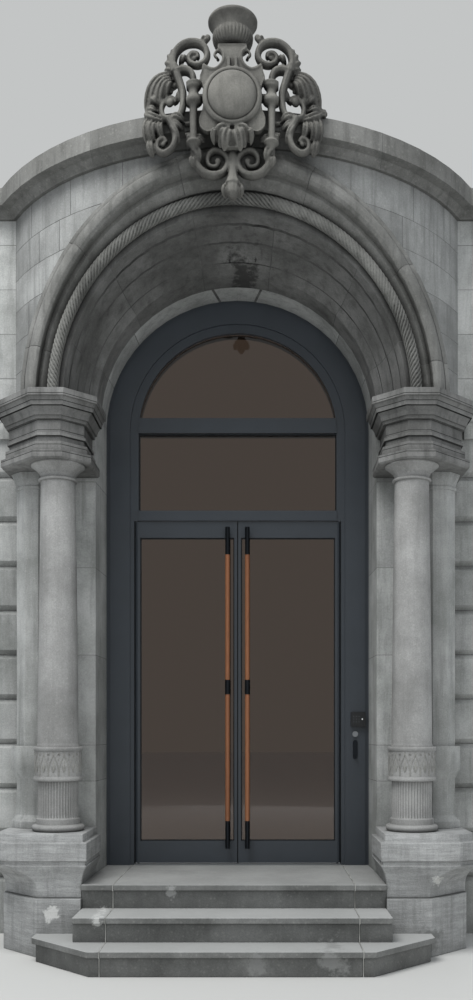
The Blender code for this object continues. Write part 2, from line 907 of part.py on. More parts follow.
def makeGripMesh(finish):
    """Wood grip: a round bar with a flat back for the spine, waisted where the collar grips it."""
    flat = pullRadius - spineDepth - seat
    waist = pullRadius - gripWaist
    flatWaist = waist - spineDepth
    wide = arcPoints(pullRadius, flat)
    slim = [(x * waist / pullRadius, min(y * waist / pullRadius, flatWaist)) for x, y in wide]
    low = pullLow + pullEndLength + seat
    high = pullHigh - pullEndLength - seat
    loops = [raised(wide, low), raised(wide, collarLow - seat), raised(slim, collarLow - seat),
             raised(slim, collarHigh + seat), raised(wide, collarHigh + seat), raised(wide, high)]
    body = smooth(loft("grip_pattern", loops, finish))
    mesh = body.data
    bpy.data.objects.remove(body)
    return mesh


def makePullBody(name, finish, parent):
    """Metal of one pull: two ends, a spine behind the wood, a collar and two stand-offs."""
    waist = pullRadius - gripWaist
    flat = pullRadius - spineDepth
    spineHalf = spineWidth / 2.0
    spine = box(name, -spineHalf, spineHalf, flat, pullRadius, pullLow + standRadius,
                pullHigh - standRadius, finish, parent)
    for tag, low, high in (("_low_end", pullLow, pullLow + pullEndLength),
                           ("_high_end", pullHigh - pullEndLength, pullHigh)):
        length = high - low
        end = turn(name + tag, [(0.0, 0.0), (pullRadius, 0.0), (pullRadius, length), (0.0, length)],
                   (0.0, 0.0, low), (0.0, 0.0, 1.0), finish, barSides, parent)
        boolean(spine, end, "UNION")
    bore = (waist + seat) / math.cos(math.pi / barSides)
    rim = pullRadius + collarGrow
    collar = turn(name + "_collar", [(bore, 0.0), (rim, 0.0), (rim, collarHigh - collarLow),
                                     (bore, collarHigh - collarLow), (bore, 0.0)],
                  (0.0, 0.0, collarLow), (0.0, 0.0, 1.0), finish, barSides, parent)
    boolean(spine, collar, "UNION")
    reach = pullStand - seat
    for tag, height in (("_low_stand", pullLow + standInset), ("_high_stand", pullHigh - standInset)):
        stand = turn(name + tag, [(0.0, 0.0), (standRadius, 0.0), (standRadius, reach), (0.0, reach)],
                     (0.0, 0.0, height), (0.0, 1.0, 0.0), finish, 8, parent)
        boolean(spine, stand, "UNION")
    return spine


def makePulls(word, side, pivot, grip, finishes):
    heel = leafThickness / 2.0
    reach = frameInner - leafGap - heel
    for place, facing in (("outer", 1.0), ("inner", -1.0)):
        holder = bpy.data.objects.new(word + "_" + place + "_pull_place", None)
        bpy.context.scene.collection.objects.link(holder)
        holder.parent = pivot
        holder.location = (-side * (reach - pullX), -facing * (heel + pullStand), 0.0)
        holder.rotation_euler = (0.0, 0.0, 0.0 if facing > 0.0 else math.pi)
        makePullBody(word + "_" + place + "_pull", finishes["dark_metal"], holder)
        addMesh(word + "_" + place + "_grip", grip, holder)


# Reader and lock on the right jamb

def makeLock(finishes):
    half = readerWide / 2.0
    tall = readerTall / 2.0
    reader = box("entry_reader", readerX - half, readerX + half, -readerDeep, -seat,
                 readerZ - tall, readerZ + tall, finishes["reader_plastic"])
    rounding = reader.modifiers.new("rounding", "BEVEL")
    rounding.width = readerDeep / 4.0
    rounding.segments = 2
    toStreet = (0.0, -1.0, 0.0)
    turn("lock_cylinder", [(0.0, 0.0), (cylinderRadius, 0.0), (cylinderRadius, cylinderDeep),
                           (0.0, cylinderDeep)],
         (lockX, -seat, cylinderZ), toStreet, finishes["dark_metal"], 20)
    outline = []
    endSteps = 8
    for centre, turnStart in ((leverHigh - leverRadius, 0.0), (leverLow + leverRadius, math.pi)):
        for i in range(endSteps + 1):
            angle = turnStart + math.pi * i / endSteps
            outline.append((lockX + leverRadius * math.cos(angle), -seat,
                            centre + leverRadius * math.sin(angle)))
    plate = extrude("lock_lever", outline, (0.0, -leverDeep, 0.0), finishes["dark_metal"])
    knob = turn("lock_knob", [(0.0, 0.0), (knobRadius, 0.0), (knobRadius, knobDeep), (0.0, knobDeep)],
                (lockX, -seat - leverDeep / 2.0, leverLow + leverRadius), toStreet,
                finishes["dark_metal"], 16)
    boolean(plate, knob, "UNION")


# Cartouche

def frontOf(depth):
    """Y of a plane that lies the given depth before the string course at its crown."""
    return bowCentre - bowRadius - stringProjection - seat - depth


def bendToBow(body):
    radius = bowRadius + stringProjection
    for vertex in body.data.vertices:
        vertex.co.y += bowDrop(vertex.co.x, radius)
    return body


def spline(points, cuts):
    """Smooth line through the points, with the given number of steps between two of them."""
    ends = [points[0]] + points + [points[-1]]
    line = []
    for i in range(1, len(ends) - 2):
        a, b, c, d = (Vector(point) for point in ends[i - 1:i + 3])
        for k in range(cuts):
            t = k / cuts
            line.append((b * 2.0 + (c - a) * t + (a * 2.0 - b * 5.0 + c * 4.0 - d) * t ** 2
                         + (b * 3.0 - a - c * 3.0 + d) * t ** 3) / 2.0)
    line.append(Vector(points[-1]))
    return line


def moulding(name, shares, side, thick, thin, finish, cuts=1, back=0.0):
    """Carved stem along a curve given in shares of the cartouche's half width, narrowing to its end."""
    sides = 6
    line = spline([(side * cartoucheHalf * u, bossZ + cartoucheHalf * v) for u, v in shares], cuts)
    loops = []
    for i, point in enumerate(line):
        along = (line[min(i + 1, len(line) - 1)] - line[max(i - 1, 0)]).normalized()
        radius = thick + (thin - thick) * i / (len(line) - 1)
        loop = []
        for k in range(sides):
            angle = 2.0 * math.pi * (k + 0.5) / sides
            push = radius * math.cos(angle)
            deep = back + 2.0 * radius * (1.0 + math.sin(angle))
            loop.append((point.x - along.y * push, frontOf(deep), point.y + along.x * push))
        loops.append(loop)
    return smooth(bendToBow(loft(name, loops, finish)))


def stringTool(name):
    """The string course and the wall under it, cut away from a carving that stands before them."""
    sides = 4 * bowSegments
    radius = (bowRadius + stringProjection + seat) / math.cos(math.pi / sides)
    loop = []
    for i in range(sides):
        angle = 2.0 * math.pi * i / sides
        loop.append((radius * math.cos(angle), bowCentre + radius * math.sin(angle)))
    return loft(name, [raised(loop, springHeight), raised(loop, stringHigh + seat)],
                bpy.data.materials["limestone"])


def beyondJoint(name, start, end, finish):
    """Everything on one side of the joint between the shield and a side scroll."""
    low, high = sorted((start, end))
    reach = 3.0 * cartoucheHalf
    return box(name, low, high, frontOf(reach), frontOf(-reach), bossZ - reach, bossZ + reach, finish)


armShares = [(0.60, 0.275), (0.518, 0.28), (0.445, 0.22), (0.435, 0.08)]
tieShares = [(0.90, -0.24), (0.79, -0.25), (0.68, -0.25), (0.58, -0.30), (0.50, -0.36), (0.43, -0.42)]
curlShares = [(0.63, 0.28), (0.645, 0.42), (0.55, 0.535), (0.40, 0.565), (0.295, 0.505), (0.275, 0.395),
              (0.335, 0.305), (0.425, 0.29), (0.483, 0.345), (0.47, 0.42), (0.405, 0.43)]
stalkShares = [(0.63, 0.33), (0.60, 0.165), (0.564, 0.03), (0.566, -0.1135), (0.61, -0.213), (0.69, -0.245),
               (0.785, -0.20), (0.81, -0.10), (0.755, -0.01), (0.68, 0.0), (0.65, -0.07)]
leafShares = [(0.62, 0.27), (0.64, 0.33), (0.76, 0.31), (0.87, 0.20), (0.95, 0.05), (0.985, -0.09),
              (0.98, -0.22), (0.965, -0.36), (0.92, -0.50), (0.885, -0.42), (0.90, -0.33), (0.835, -0.30),
              (0.82, -0.24), (0.885, -0.17), (0.825, -0.13), (0.81, -0.07), (0.87, 0.0), (0.80, 0.02),
              (0.77, 0.08), (0.80, 0.15), (0.73, 0.16), (0.69, 0.22)]
lowCurlShares = [(0.73, -0.235), (0.665, -0.39), (0.65, -0.53), (0.70, -0.645), (0.796, -0.695),
                 (0.866, -0.631), (0.856, -0.54), (0.785, -0.51), (0.755, -0.575)]
voluteShares = [(0.438, -0.60), (0.415, -0.77), (0.33, -0.885), (0.21, -0.92), (0.10, -0.88), (0.05, -0.75),
                (0.11, -0.645), (0.21, -0.62), (0.285, -0.69), (0.275, -0.79), (0.19, -0.81), (0.155, -0.74)]
crestEyeShares = (0.15, 0.45)
palmetteShares = [(0.02, -0.635), (0.055, -0.625), (0.07, -0.575), (0.10, -0.61), (0.145, -0.59),
                  (0.145, -0.535), (0.185, -0.535), (0.205, -0.49), (0.175, -0.44), (0.11, -0.40)]


def makeShield(finish):
    halfShares = [(0.06, -0.60), (0.10, -0.45), (0.24, -0.425), (0.365, -0.36), (0.36, -0.13),
                  (0.30, -0.06), (0.30, 0.06), (0.345, 0.15), (0.36, 0.24), (0.328, 0.325),
                  (0.22, 0.295), (0.12, 0.345), (0.10, 0.42), (0.13, 0.50)]
    half = [(cartoucheHalf * u, bossZ + cartoucheHalf * v) for u, v in halfShares]
    half.append((half[-1][0], urnLow - seat))
    outline = half + [(-x, z) for x, z in reversed(half)]
    front = frontOf(shieldFront)
    body = extrude("cartouche_shield", [(x, front, z) for x, z in outline],
                   (0.0, shieldFront + shieldBack, 0.0), finish)
    rollDepth = archivoltReach + rollRadius - stringProjection
    toStreet = (0.0, -1.0, 0.0)
    for word, side in (("left", -1.0), ("right", 1.0)):
        pieces = [makeTorch(word + "_torch", side, finish)]
        for tag, shares, thin, cuts, back in (
                ("_arm", armShares, mouldRadius, 1, 0.0), ("_tie", tieShares, mouldRadius, 1, 0.0),
                ("_strap", [(0.25, 0.0), (0.45, 0.0)], mouldRadius, 1, 0.0),
                ("_curl", curlShares, mouldTip, 2, 0.0), ("_volute", voluteShares, mouldTip, 2, rollDepth)):
            pieces.append(moulding(word + tag, shares, side, mouldRadius, thin, finish, cuts, back))
        u, v = crestEyeShares
        pieces.append(turn(word + "_crest_eye", [
            (0.0, 0.0), (eyeRadius, 0.0), (eyeRadius, shieldFront), (0.0, shieldFront + eyeDeep)],
            (side * cartoucheHalf * u, frontOf(0.0), bossZ + cartoucheHalf * v), toStreet, finish, 12))
        for piece in pieces:
            boolean(body, piece, "UNION")
    half = [(cartoucheHalf * u, bossZ + cartoucheHalf * v) for u, v in palmetteShares]
    outline = half + [(-x, z) for x, z in reversed(half)]
    front = frontOf(palmetteDeep)
    palmette = extrude("palmette", [(x, front, z) for x, z in outline], (0.0, palmetteDeep, 0.0), finish)
    boolean(body, palmette, "UNION")
    boolean(body, makeStem("cartouche_stem", rollDepth, finish), "UNION")
    for word, side in (("left", -1.0), ("right", 1.0)):
        tool = beyondJoint(word + "_joint", side * scrollJoint, side * 3.0 * cartoucheHalf, finish)
        boolean(body, tool, "DIFFERENCE")
    return boolean(body, stringTool("shield_seat"), "DIFFERENCE")


def makeTorch(name, side, finish):
    shares = [(0.0, 0.0), (0.15, 0.0), (0.30, 0.10), (0.72, 0.155), (0.30, 0.21), (0.40, 0.23),
              (0.44, 0.70), (0.95, 0.73), (0.95, 0.78), (0.60, 0.84), (0.62, 0.90), (1.0, 0.955),
              (1.0, 1.0), (0.0, 1.0)]
    profile = [(torchCup * r, torchHeight * h) for r, h in shares]
    body = turn(name, profile, (side * torchX, frontOf(torchCup), torchLow), (0.0, 0.0, 1.0), finish, 8)
    return bendToBow(body)


def makeStem(name, back, finish):
    """Stem between the volutes, widening to a bell, with the drop leaf below it."""
    tall = dropDepth - cartoucheHalf / 2.0
    shares = [(0.0, 0.0), (0.35, 0.03), (0.75, 0.12), (0.80, 0.27), (0.62, 0.285), (1.0, 0.295),
              (0.95, 0.32), (0.50, 0.45), (0.36, 0.60), (0.36, 1.0), (0.0, 1.0)]
    profile = [(bellHalf * r, tall * h) for r, h in shares]
    return turn(name, profile, (0.0, frontOf(back + bellHalf), dropLow), (0.0, 0.0, 1.0), finish, 10)


def makeBoss(finish):
    profile = [(0.0, 0.0)]
    steps = 6
    for i in range(steps):
        angle = math.pi / 2.0 * i / steps
        profile.append((bossRadius * math.cos(angle), bossDeep * math.sin(angle)))
    profile.append((0.0, bossDeep))
    return turn("cartouche_boss", profile, (0.0, frontOf(shieldFront) - seat, bossZ),
                (0.0, -1.0, 0.0), finish)


def makeUrn(finish):
    shares = [(0.0, 0.0), (0.38, 0.0), (0.38, 0.07), (0.62, 0.18), (0.79, 0.36), (0.84, 0.53),
              (0.80, 0.63), (0.75, 0.65), (0.79, 0.76), (0.90, 0.86), (1.0, 0.91), (1.0, 1.0),
              (0.88, 1.0), (0.66, 0.82), (0.0, 0.78)]
    profile = [(urnRadius * r, urnHeight * h) for r, h in shares]
    middle = frontOf((shieldFront - shieldBack) / 2.0)
    return turn("cartouche_urn", profile, (0.0, middle, urnLow), (0.0, 0.0, 1.0), finish, 18)


def makeScrollwork(word, side, finish):
    """Side scroll in one stone: S stalk, top curl, outer leaf, low curl, and the stubs at its joint."""
    body = moulding(word + "_scrollwork", stalkShares, side, mouldRadius, mouldTip, finish, 2)
    for tag, shares, thin, cuts in (
            ("_outer_curl", curlShares, mouldTip, 2), ("_low_curl", lowCurlShares, mouldTip, 2),
            ("_outer_arm", armShares, mouldRadius, 1), ("_outer_tie", tieShares, mouldRadius, 1)):
        boolean(body, moulding(word + tag, shares, side, mouldRadius, thin, finish, cuts), "UNION")
    outline = [(side * cartoucheHalf * u, frontOf(leafDeep), bossZ + cartoucheHalf * v) for u, v in leafShares]
    leaf = bendToBow(extrude(word + "_leaf", outline, (0.0, leafDeep, 0.0), finish))
    boolean(body, leaf, "UNION")
    tool = beyondJoint(word + "_outer_joint", side * (scrollJoint + seat), -side * cartoucheHalf, finish)
    boolean(body, tool, "DIFFERENCE")
    return boolean(body, stringTool(word + "_scroll_seat"), "DIFFERENCE")


def makeCartouche(finish):
    makeShield(finish)
    makeBoss(finish)
    makeUrn(finish)
    makeScrollwork("left", -1.0, finish)
    makeScrollwork("right", 1.0, finish)


def build():
    clearScene()
    finishes = makeFinishes()
    stone = finishes["limestone"]
    makeSteps(finishes["step_stone"])
    for word, side in (("left", -1.0), ("right", 1.0)):
        makePlinth(word + "_plinth", side, stone)
        makePedestal(word + "_pedestal", side, stone)
        makeColumnBase(word + "_column_base", side, stone)
        makeColumnShaft(word + "_column_shaft", side, stone)
        makeCapital(word + "_capital", side, stone)
        makePilaster(word + "_rear_pilaster", side, stone)
        makeImpost(word + "_impost", side, stone)
        makeWall(word + "_wall", side, stone)
        makeUpperWall(word + "_upper_wall", side, stone)
        makeSpandrel(word + "_spandrel", side, stone)
        makeJamb(word + "_frame_jamb", side, finishes["frame_paint"])
    makeArchivolt("archivolt", stone)
    makeRope("rope_moulding", stone)
    makeCove("arch_cove", stone)
    makeStringCourse("string_course", stone)
    makeFrameArch("frame_arch", finishes["frame_paint"])
    makeBars(finishes["frame_paint"])
    makeLights(finishes["glass"])
    makeLining(finishes["reveal_wood"])
    grip = makeGripMesh(finishes["handle_wood"])
    for word, side in (("left", -1.0), ("right", 1.0)):
        pivot = makeLeaf(word, side, finishes)
        makePulls(word, side, pivot, grip, finishes)
    makeLock(finishes)
    makeCartouche(stone)


build()
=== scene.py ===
# Arched stone entrance portal with glazed double doors: finishes, carving, light and camera.
import math

import bmesh
import bpy
from mathutils import Matrix, Vector


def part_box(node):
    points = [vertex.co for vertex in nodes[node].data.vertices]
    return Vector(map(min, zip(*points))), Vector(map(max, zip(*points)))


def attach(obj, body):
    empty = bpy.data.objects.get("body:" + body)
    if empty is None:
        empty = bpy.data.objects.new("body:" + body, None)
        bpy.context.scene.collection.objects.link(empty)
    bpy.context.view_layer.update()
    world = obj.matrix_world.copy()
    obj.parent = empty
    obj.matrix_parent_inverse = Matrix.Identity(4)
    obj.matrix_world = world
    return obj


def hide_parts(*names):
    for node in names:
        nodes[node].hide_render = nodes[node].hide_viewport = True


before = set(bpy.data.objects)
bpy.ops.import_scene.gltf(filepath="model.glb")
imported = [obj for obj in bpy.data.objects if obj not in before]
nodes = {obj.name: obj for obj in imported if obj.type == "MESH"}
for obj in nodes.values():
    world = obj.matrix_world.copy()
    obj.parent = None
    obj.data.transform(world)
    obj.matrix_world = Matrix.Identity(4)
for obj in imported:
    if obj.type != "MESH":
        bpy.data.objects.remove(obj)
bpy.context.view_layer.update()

mm = 0.001
quarterTurn = math.pi / 2.0
fullTurn = 2.0 * math.pi
wings = (("left", -1.0), ("right", 1.0))
print("frame loaded:", len(nodes), "nodes")

# Lengths that the new pieces share with the solids, in metres
plan = {
    "springHeight": 3.785,
    "bowRadius": 1.92,
    "bowCentre": 0.80,
    "stringProjection": 0.13,
    "archBow": 2.6,          # the arch ring is bent back on this radius
    "ropeBowShare": 0.6,
    "columnX": 1.22,
    "columnY": -0.72,
}


# Colours and nodes
rgba = {"data_type": "RGBA"}
multiplyAdd = {"operation": "MULTIPLY_ADD"}


def linear(hexColour):
    values = [int(hexColour[i:i + 2], 16) / 255.0 for i in (1, 3, 5)]
    lit = [v / 12.92 if v <= 0.04045 else ((v + 0.055) / 1.055) ** 2.4 for v in values]
    return (*lit, 1.0)


def addNode(tree, kind, inputs, settings=None, out=0):
    node = tree.nodes.new("ShaderNode" + kind)
    for name, value in (settings or {}).items():
        setattr(node, name, value)
    for name, value in inputs.items():
        if isinstance(value, bpy.types.NodeSocket):
            tree.links.new(value, node.inputs[name])
        else:
            node.inputs[name].default_value = value
    return node.outputs[out] if len(node.outputs) else None


def newMaterial(name):
    material = bpy.data.materials.new(name)
    material.use_nodes = True
    tree = material.node_tree
    tree.nodes.clear()
    return material, tree


# Every solid finish ends alike: a fine relief where it has one, the shader and the output.
def endFinish(tree, look, height=None, strength=0.0, distance=0.0):
    if height is not None:
        relief = {"Height": height, "Strength": strength, "Distance": distance}
        look["Normal"] = addNode(tree, "Bump", relief)
    addNode(tree, "OutputMaterial", {"Surface": addNode(tree, "BsdfPrincipled", look)})


# Tooled limestone, grey with age. Dry and matt, with a fine pitted grain, soft cloudy patches of
# light and dark, rain streaks that run down, and painted shade that darkens the corners and hollows.
ashlar = {
    "cloud": 380 * mm,       # size of the light and dark patches
    "streak": 55 * mm,       # width of a rain streak
    "grain": 9 * mm,         # pitting, drawn coarser than its real 2 mm so that it shows
    "fossil": 34 * mm,       # spacing of the paler shell marks
    "bed": 26 * mm,          # height of a bedding layer, where the stone weathers in layers
    "toneRange": 0.36,       # how much one stone may differ from the next
    "ringLine": 2.2 * mm,    # half width of a joint that runs round the arch
    "backStart": 0.494,      # where the wall's plastered inner face begins, along Y
    "shellColour": "#d8d6cf",
    # painted light on the step tops
    "paintedLitTopColour": "#b9bab8",
    "plasterDark": "#c2bdb2",
    "plasterLight": "#d0ccc3",
}


def limestone(name, light, dark, sootAndShade, streaks=0.5, paintedShadeReach=0.2, paintedShadeDepth=0.75, beds=0.0, bump=0.5,
              plaster=False, rings=(), shells=0.1, paintedShadeFrom=0.2, paintedShadeTo=0.95, treads=(), stains=()):
    material, tree = newMaterial(name)
    place = addNode(tree, "TexCoord", {}, out="Object")
    sootAndShadeColour = linear(sootAndShade)

    def awayFrom(x, z):      # distance from a point, as seen from the street
        flat = addNode(tree, "VectorMath", {0: place, 1: (1.0, 0.0, 1.0), 2: (-x, 0.0, -z)},
                       multiplyAdd)
        return addNode(tree, "VectorMath", {0: flat}, {"operation": "LENGTH"}, "Value")

    drawn = addNode(tree, "Mapping", {"Vector": place, "Scale": (1.0, 1.0, 0.08)})
    cloud, streak, grain = [addNode(tree, "TexNoise", {
        "Vector": vector, "Scale": 1.0 / ashlar[size], "Detail": detail, "Roughness": roughness})
        for vector, size, detail, roughness in (
            (place, "cloud", 6.0, 0.62), (drawn, "streak", 4.0, 0.65), (place, "grain", 3.0, 0.7))]
    shell = addNode(tree, "TexVoronoi", {"Vector": place, "Scale": 1.0 / ashlar["fossil"]})
    # painted shade: ambient occlusion darkens the stone in its corners and hollows
    paintedShade = addNode(tree, "AmbientOcclusion", {"Distance": paintedShadeReach}, {"samples": 6}, "AO")
    cloud, streak, speck, shell, paintedShade = [addNode(tree, "MapRange", {
        "Value": value, "From Min": low, "From Max": high, "To Min": first, "To Max": last})
        for value, low, high, first, last in (
            (cloud, 0.36, 0.64, 0.0, 1.0), (streak, 0.48, 0.78, 0.0, streaks), (grain, 0.3, 0.7, 0.84, 1.12),
            (shell, 0.05, 0.3, shells, 0.0), (paintedShade, paintedShadeFrom, paintedShadeTo, paintedShadeDepth, 0.0))]
    own = addNode(tree, "Attribute", {}, {"attribute_name": "stoneTone"}, "Fac")
    own = addNode(tree, "Math", {0: own, 1: ashlar["toneRange"], 2: 1.0}, multiplyAdd)
    height = grain
    layers = [  # share, colour, blend
        (shell, linear(ashlar["shellColour"]), "MIX"), (1.0, own, "MULTIPLY")]
    if beds:
        flat = addNode(tree, "Mapping", {"Vector": place, "Scale": (0.12, 0.12, 1.0)})
        bed = addNode(tree, "TexNoise", {
            "Vector": flat, "Scale": 1.0 / ashlar["bed"], "Detail": 4.0, "Roughness": 0.7})
        band = addNode(tree, "MapRange", {
            "Value": bed, "From Min": 0.42, "From Max": 0.6, "To Min": beds, "To Max": 0.0})
        height = addNode(tree, "Math", {0: bed, 1: 3.0, 2: grain}, multiplyAdd)
        layers.append((band, sootAndShadeColour, "MIX"))
    # soot in the rain streaks, painted shade in the corners and hollows, then the pitting
    layers += [(streak, sootAndShadeColour, "MIX"), (paintedShade, sootAndShadeColour, "MIX"), (1.0, speck, "MULTIPLY")]
    for tread in treads:      # painted light: the tread tops are drawn paler, at these heights, the landing less
        level = addNode(tree, "SeparateXYZ", {0: place}, out="Z")
        paintedLitTop = addNode(tree, "Math", {0: level, 1: tread, 2: 3 * mm}, {"operation": "COMPARE"})
        most = 0.65 if tread < treads[-1] else 0.4
        paintedLitTop = addNode(tree, "MapRange", {"Value": paintedLitTop, "To Max": most})
        layers.append((paintedLitTop, linear(ashlar["paintedLitTopColour"]), "MIX"))
    for ring in rings:      # joints that run round the arch, at these distances from its axis
        away = awayFrom(0.0, plan["springHeight"])
        line = addNode(tree, "Math", {0: away, 1: ring, 2: ashlar["ringLine"]}, {"operation": "COMPARE"})
        line = addNode(tree, "Math", {0: line, 1: cloud}, {"operation": "MULTIPLY"})
        layers.append((line, sootAndShadeColour, "MIX"))
    for x, z, radius, shade in stains:      # mended or dirty places, seen from the street
        ragged = addNode(tree, "TexNoise", {
            "Vector": place, "Scale": 1.5 / radius, "Detail": 4.0, "Roughness": 0.7})
        apart = addNode(tree, "Math", {0: ragged, 1: 2.4 * radius, 2: awayFrom(x, z)},
                        multiplyAdd)
        inside = addNode(tree, "MapRange", {
            "Value": apart, "From Min": 1.6 * radius, "From Max": 1.95 * radius,
            "To Min": 0.75, "To Max": 0.0})
        layers.append((inside, linear(shade), "MIX"))
    if plaster:
        depth = addNode(tree, "SeparateXYZ", {0: place}, out="Y")
        inner = addNode(tree, "MapRange", {
            "Value": depth, "From Min": ashlar["backStart"], "From Max": ashlar["backStart"] + 4 * mm})
        trowelled = addNode(tree, "Mix", {
            0: cloud, 6: linear(ashlar["plasterDark"]), 7: linear(ashlar["plasterLight"])}, rgba, 2)
        layers.append((inner, trowelled, "MIX"))
    colour = addNode(tree, "Mix", {0: cloud, 6: linear(dark), 7: linear(light)}, rgba, 2)
    for share, shade, blend in layers:
        colour = addNode(tree, "Mix", {0: share, 6: colour, 7: shade},
                         {"data_type": "RGBA", "blend_type": blend}, 2)
    look = {"Base Color": colour, "Roughness": 0.88, "Specular IOR Level": 0.35}
    endFinish(tree, look, height, bump, 2 * mm)
    return material


# Lime mortar in the joints: sandy, matt, a little paler or darker than the stone beside it.
def limeMortar(name, light, dark, sandSize=3 * mm, patchSize=120 * mm):
    material, tree = newMaterial(name)
    place = addNode(tree, "TexCoord", {}, out="Object")
    sand = addNode(tree, "TexNoise", {"Vector": place, "Scale": 1.0 / sandSize, "Detail": 2.0})
    patch = addNode(tree, "TexNoise", {"Vector": place, "Scale": 1.0 / patchSize, "Detail": 3.0})
    patch = addNode(tree, "MapRange", {"Value": patch, "From Min": 0.4, "From Max": 0.6})
    colour = addNode(tree, "Mix", {0: patch, 6: linear(dark), 7: linear(light)}, rgba, 2)
    endFinish(tree, {"Base Color": colour, "Roughness": 0.95, "Specular IOR Level": 0.2}, sand, 0.6, 1 * mm)
    return material


# Satin paint on the steel door frame: near-black blue grey, even, with a soft sheen and a very
# faint brushed ripple.
def satinPaint(name, colour, worn, filmSize=160 * mm, rippleSize=4 * mm):
    material, tree = newMaterial(name)
    place = addNode(tree, "TexCoord", {}, out="Object")
    film = addNode(tree, "TexNoise", {"Vector": place, "Scale": 1.0 / filmSize, "Detail": 4.0})
    ripple = addNode(tree, "TexNoise", {"Vector": place, "Scale": 1.0 / rippleSize, "Detail": 1.0})
    tone = addNode(tree, "Mix", {0: film, 6: linear(colour), 7: linear(worn)}, rgba, 2)
    rough = addNode(tree, "MapRange", {"Value": film, "To Min": 0.36, "To Max": 0.5})
    endFinish(tree, {"Base Color": tone, "Roughness": rough}, ripple, 0.08, 0.4 * mm)
    return material


# Float glass, its grey tint painted shade for the dim room behind: dim and clear, with a sharp mirror at a
# low angle.
def tintedGlass(name, interiorShadeTint, film):
    material, tree = newMaterial(name)
    edge = addNode(tree, "Fresnel", {"IOR": 1.52})
    clear = addNode(tree, "BsdfTransparent", {"Color": linear(interiorShadeTint)})
    mirror = addNode(tree, "BsdfGlossy", {"Color": linear(film), "Roughness": 0.02})
    addNode(tree, "OutputMaterial", {"Surface": addNode(tree, "MixShader", {0: edge, 1: clear, 2: mirror})})
    return material


# Oiled hardwood: warm brown with straight dark grain along its length and a low sheen.
def oiledWood(name, light, dark, along, grainWide=3 * mm):
    material, tree = newMaterial(name)
    place = addNode(tree, "TexCoord", {}, out="Object")
    stretch = [1.0, 1.0, 1.0]
    stretch[along] = 0.04
    drawn = addNode(tree, "Mapping", {"Vector": place, "Scale": stretch})
    fibre = addNode(tree, "TexNoise", {
        "Vector": drawn, "Scale": 1.0 / grainWide, "Detail": 5.0, "Distortion": 0.4})
    fibre = addNode(tree, "MapRange", {"Value": fibre, "From Min": 0.3, "From Max": 0.7})
    board = addNode(tree, "TexNoise", {"Vector": drawn, "Scale": 1.0 / (30.0 * grainWide), "Detail": 1.0})
    share = addNode(tree, "Math", {0: fibre, 1: 0.65, 2: board}, {**multiplyAdd, "use_clamp": True})
    colour = addNode(tree, "Mix", {0: share, 6: linear(dark), 7: linear(light)}, rgba, 2)
    endFinish(tree, {"Base Color": colour, "Roughness": 0.42}, fibre, 0.2, 0.4 * mm)
    return material


# Blackened steel of the pulls and the lock: dark, with a satin gloss and fine turning marks.
def blackenedSteel(name, colour, low=0.22, high=0.42, markSize=1.5 * mm):
    material, tree = newMaterial(name)
    place = addNode(tree, "TexCoord", {}, out="Object")
    drawn = addNode(tree, "Mapping", {"Vector": place, "Scale": (1.0, 1.0, 0.05)})
    mark = addNode(tree, "TexNoise", {"Vector": drawn, "Scale": 1.0 / markSize, "Detail": 2.0})
    rough = addNode(tree, "MapRange", {"Value": mark, "To Min": low, "To Max": high})
    endFinish(tree, {"Base Color": linear(colour), "Metallic": 0.9, "Roughness": rough})
    return material


# Moulded ABS of the entry reader, and the rubber glazing seals: black, finely eroded, half matt.
def mouldedPlastic(name, colour, rough=0.38, worn="#1b1c1e", sparkSize=1.2 * mm):
    material, tree = newMaterial(name)
    place = addNode(tree, "TexCoord", {}, out="Object")
    spark = addNode(tree, "TexNoise", {"Vector": place, "Scale": 1.0 / sparkSize, "Detail": 1.0})
    tone = addNode(tree, "Mix", {0: spark, 6: linear(colour), 7: linear(worn)}, rgba, 2)
    endFinish(tree, {"Base Color": tone, "Roughness": rough}, spark, 0.25, 0.2 * mm)
    return material


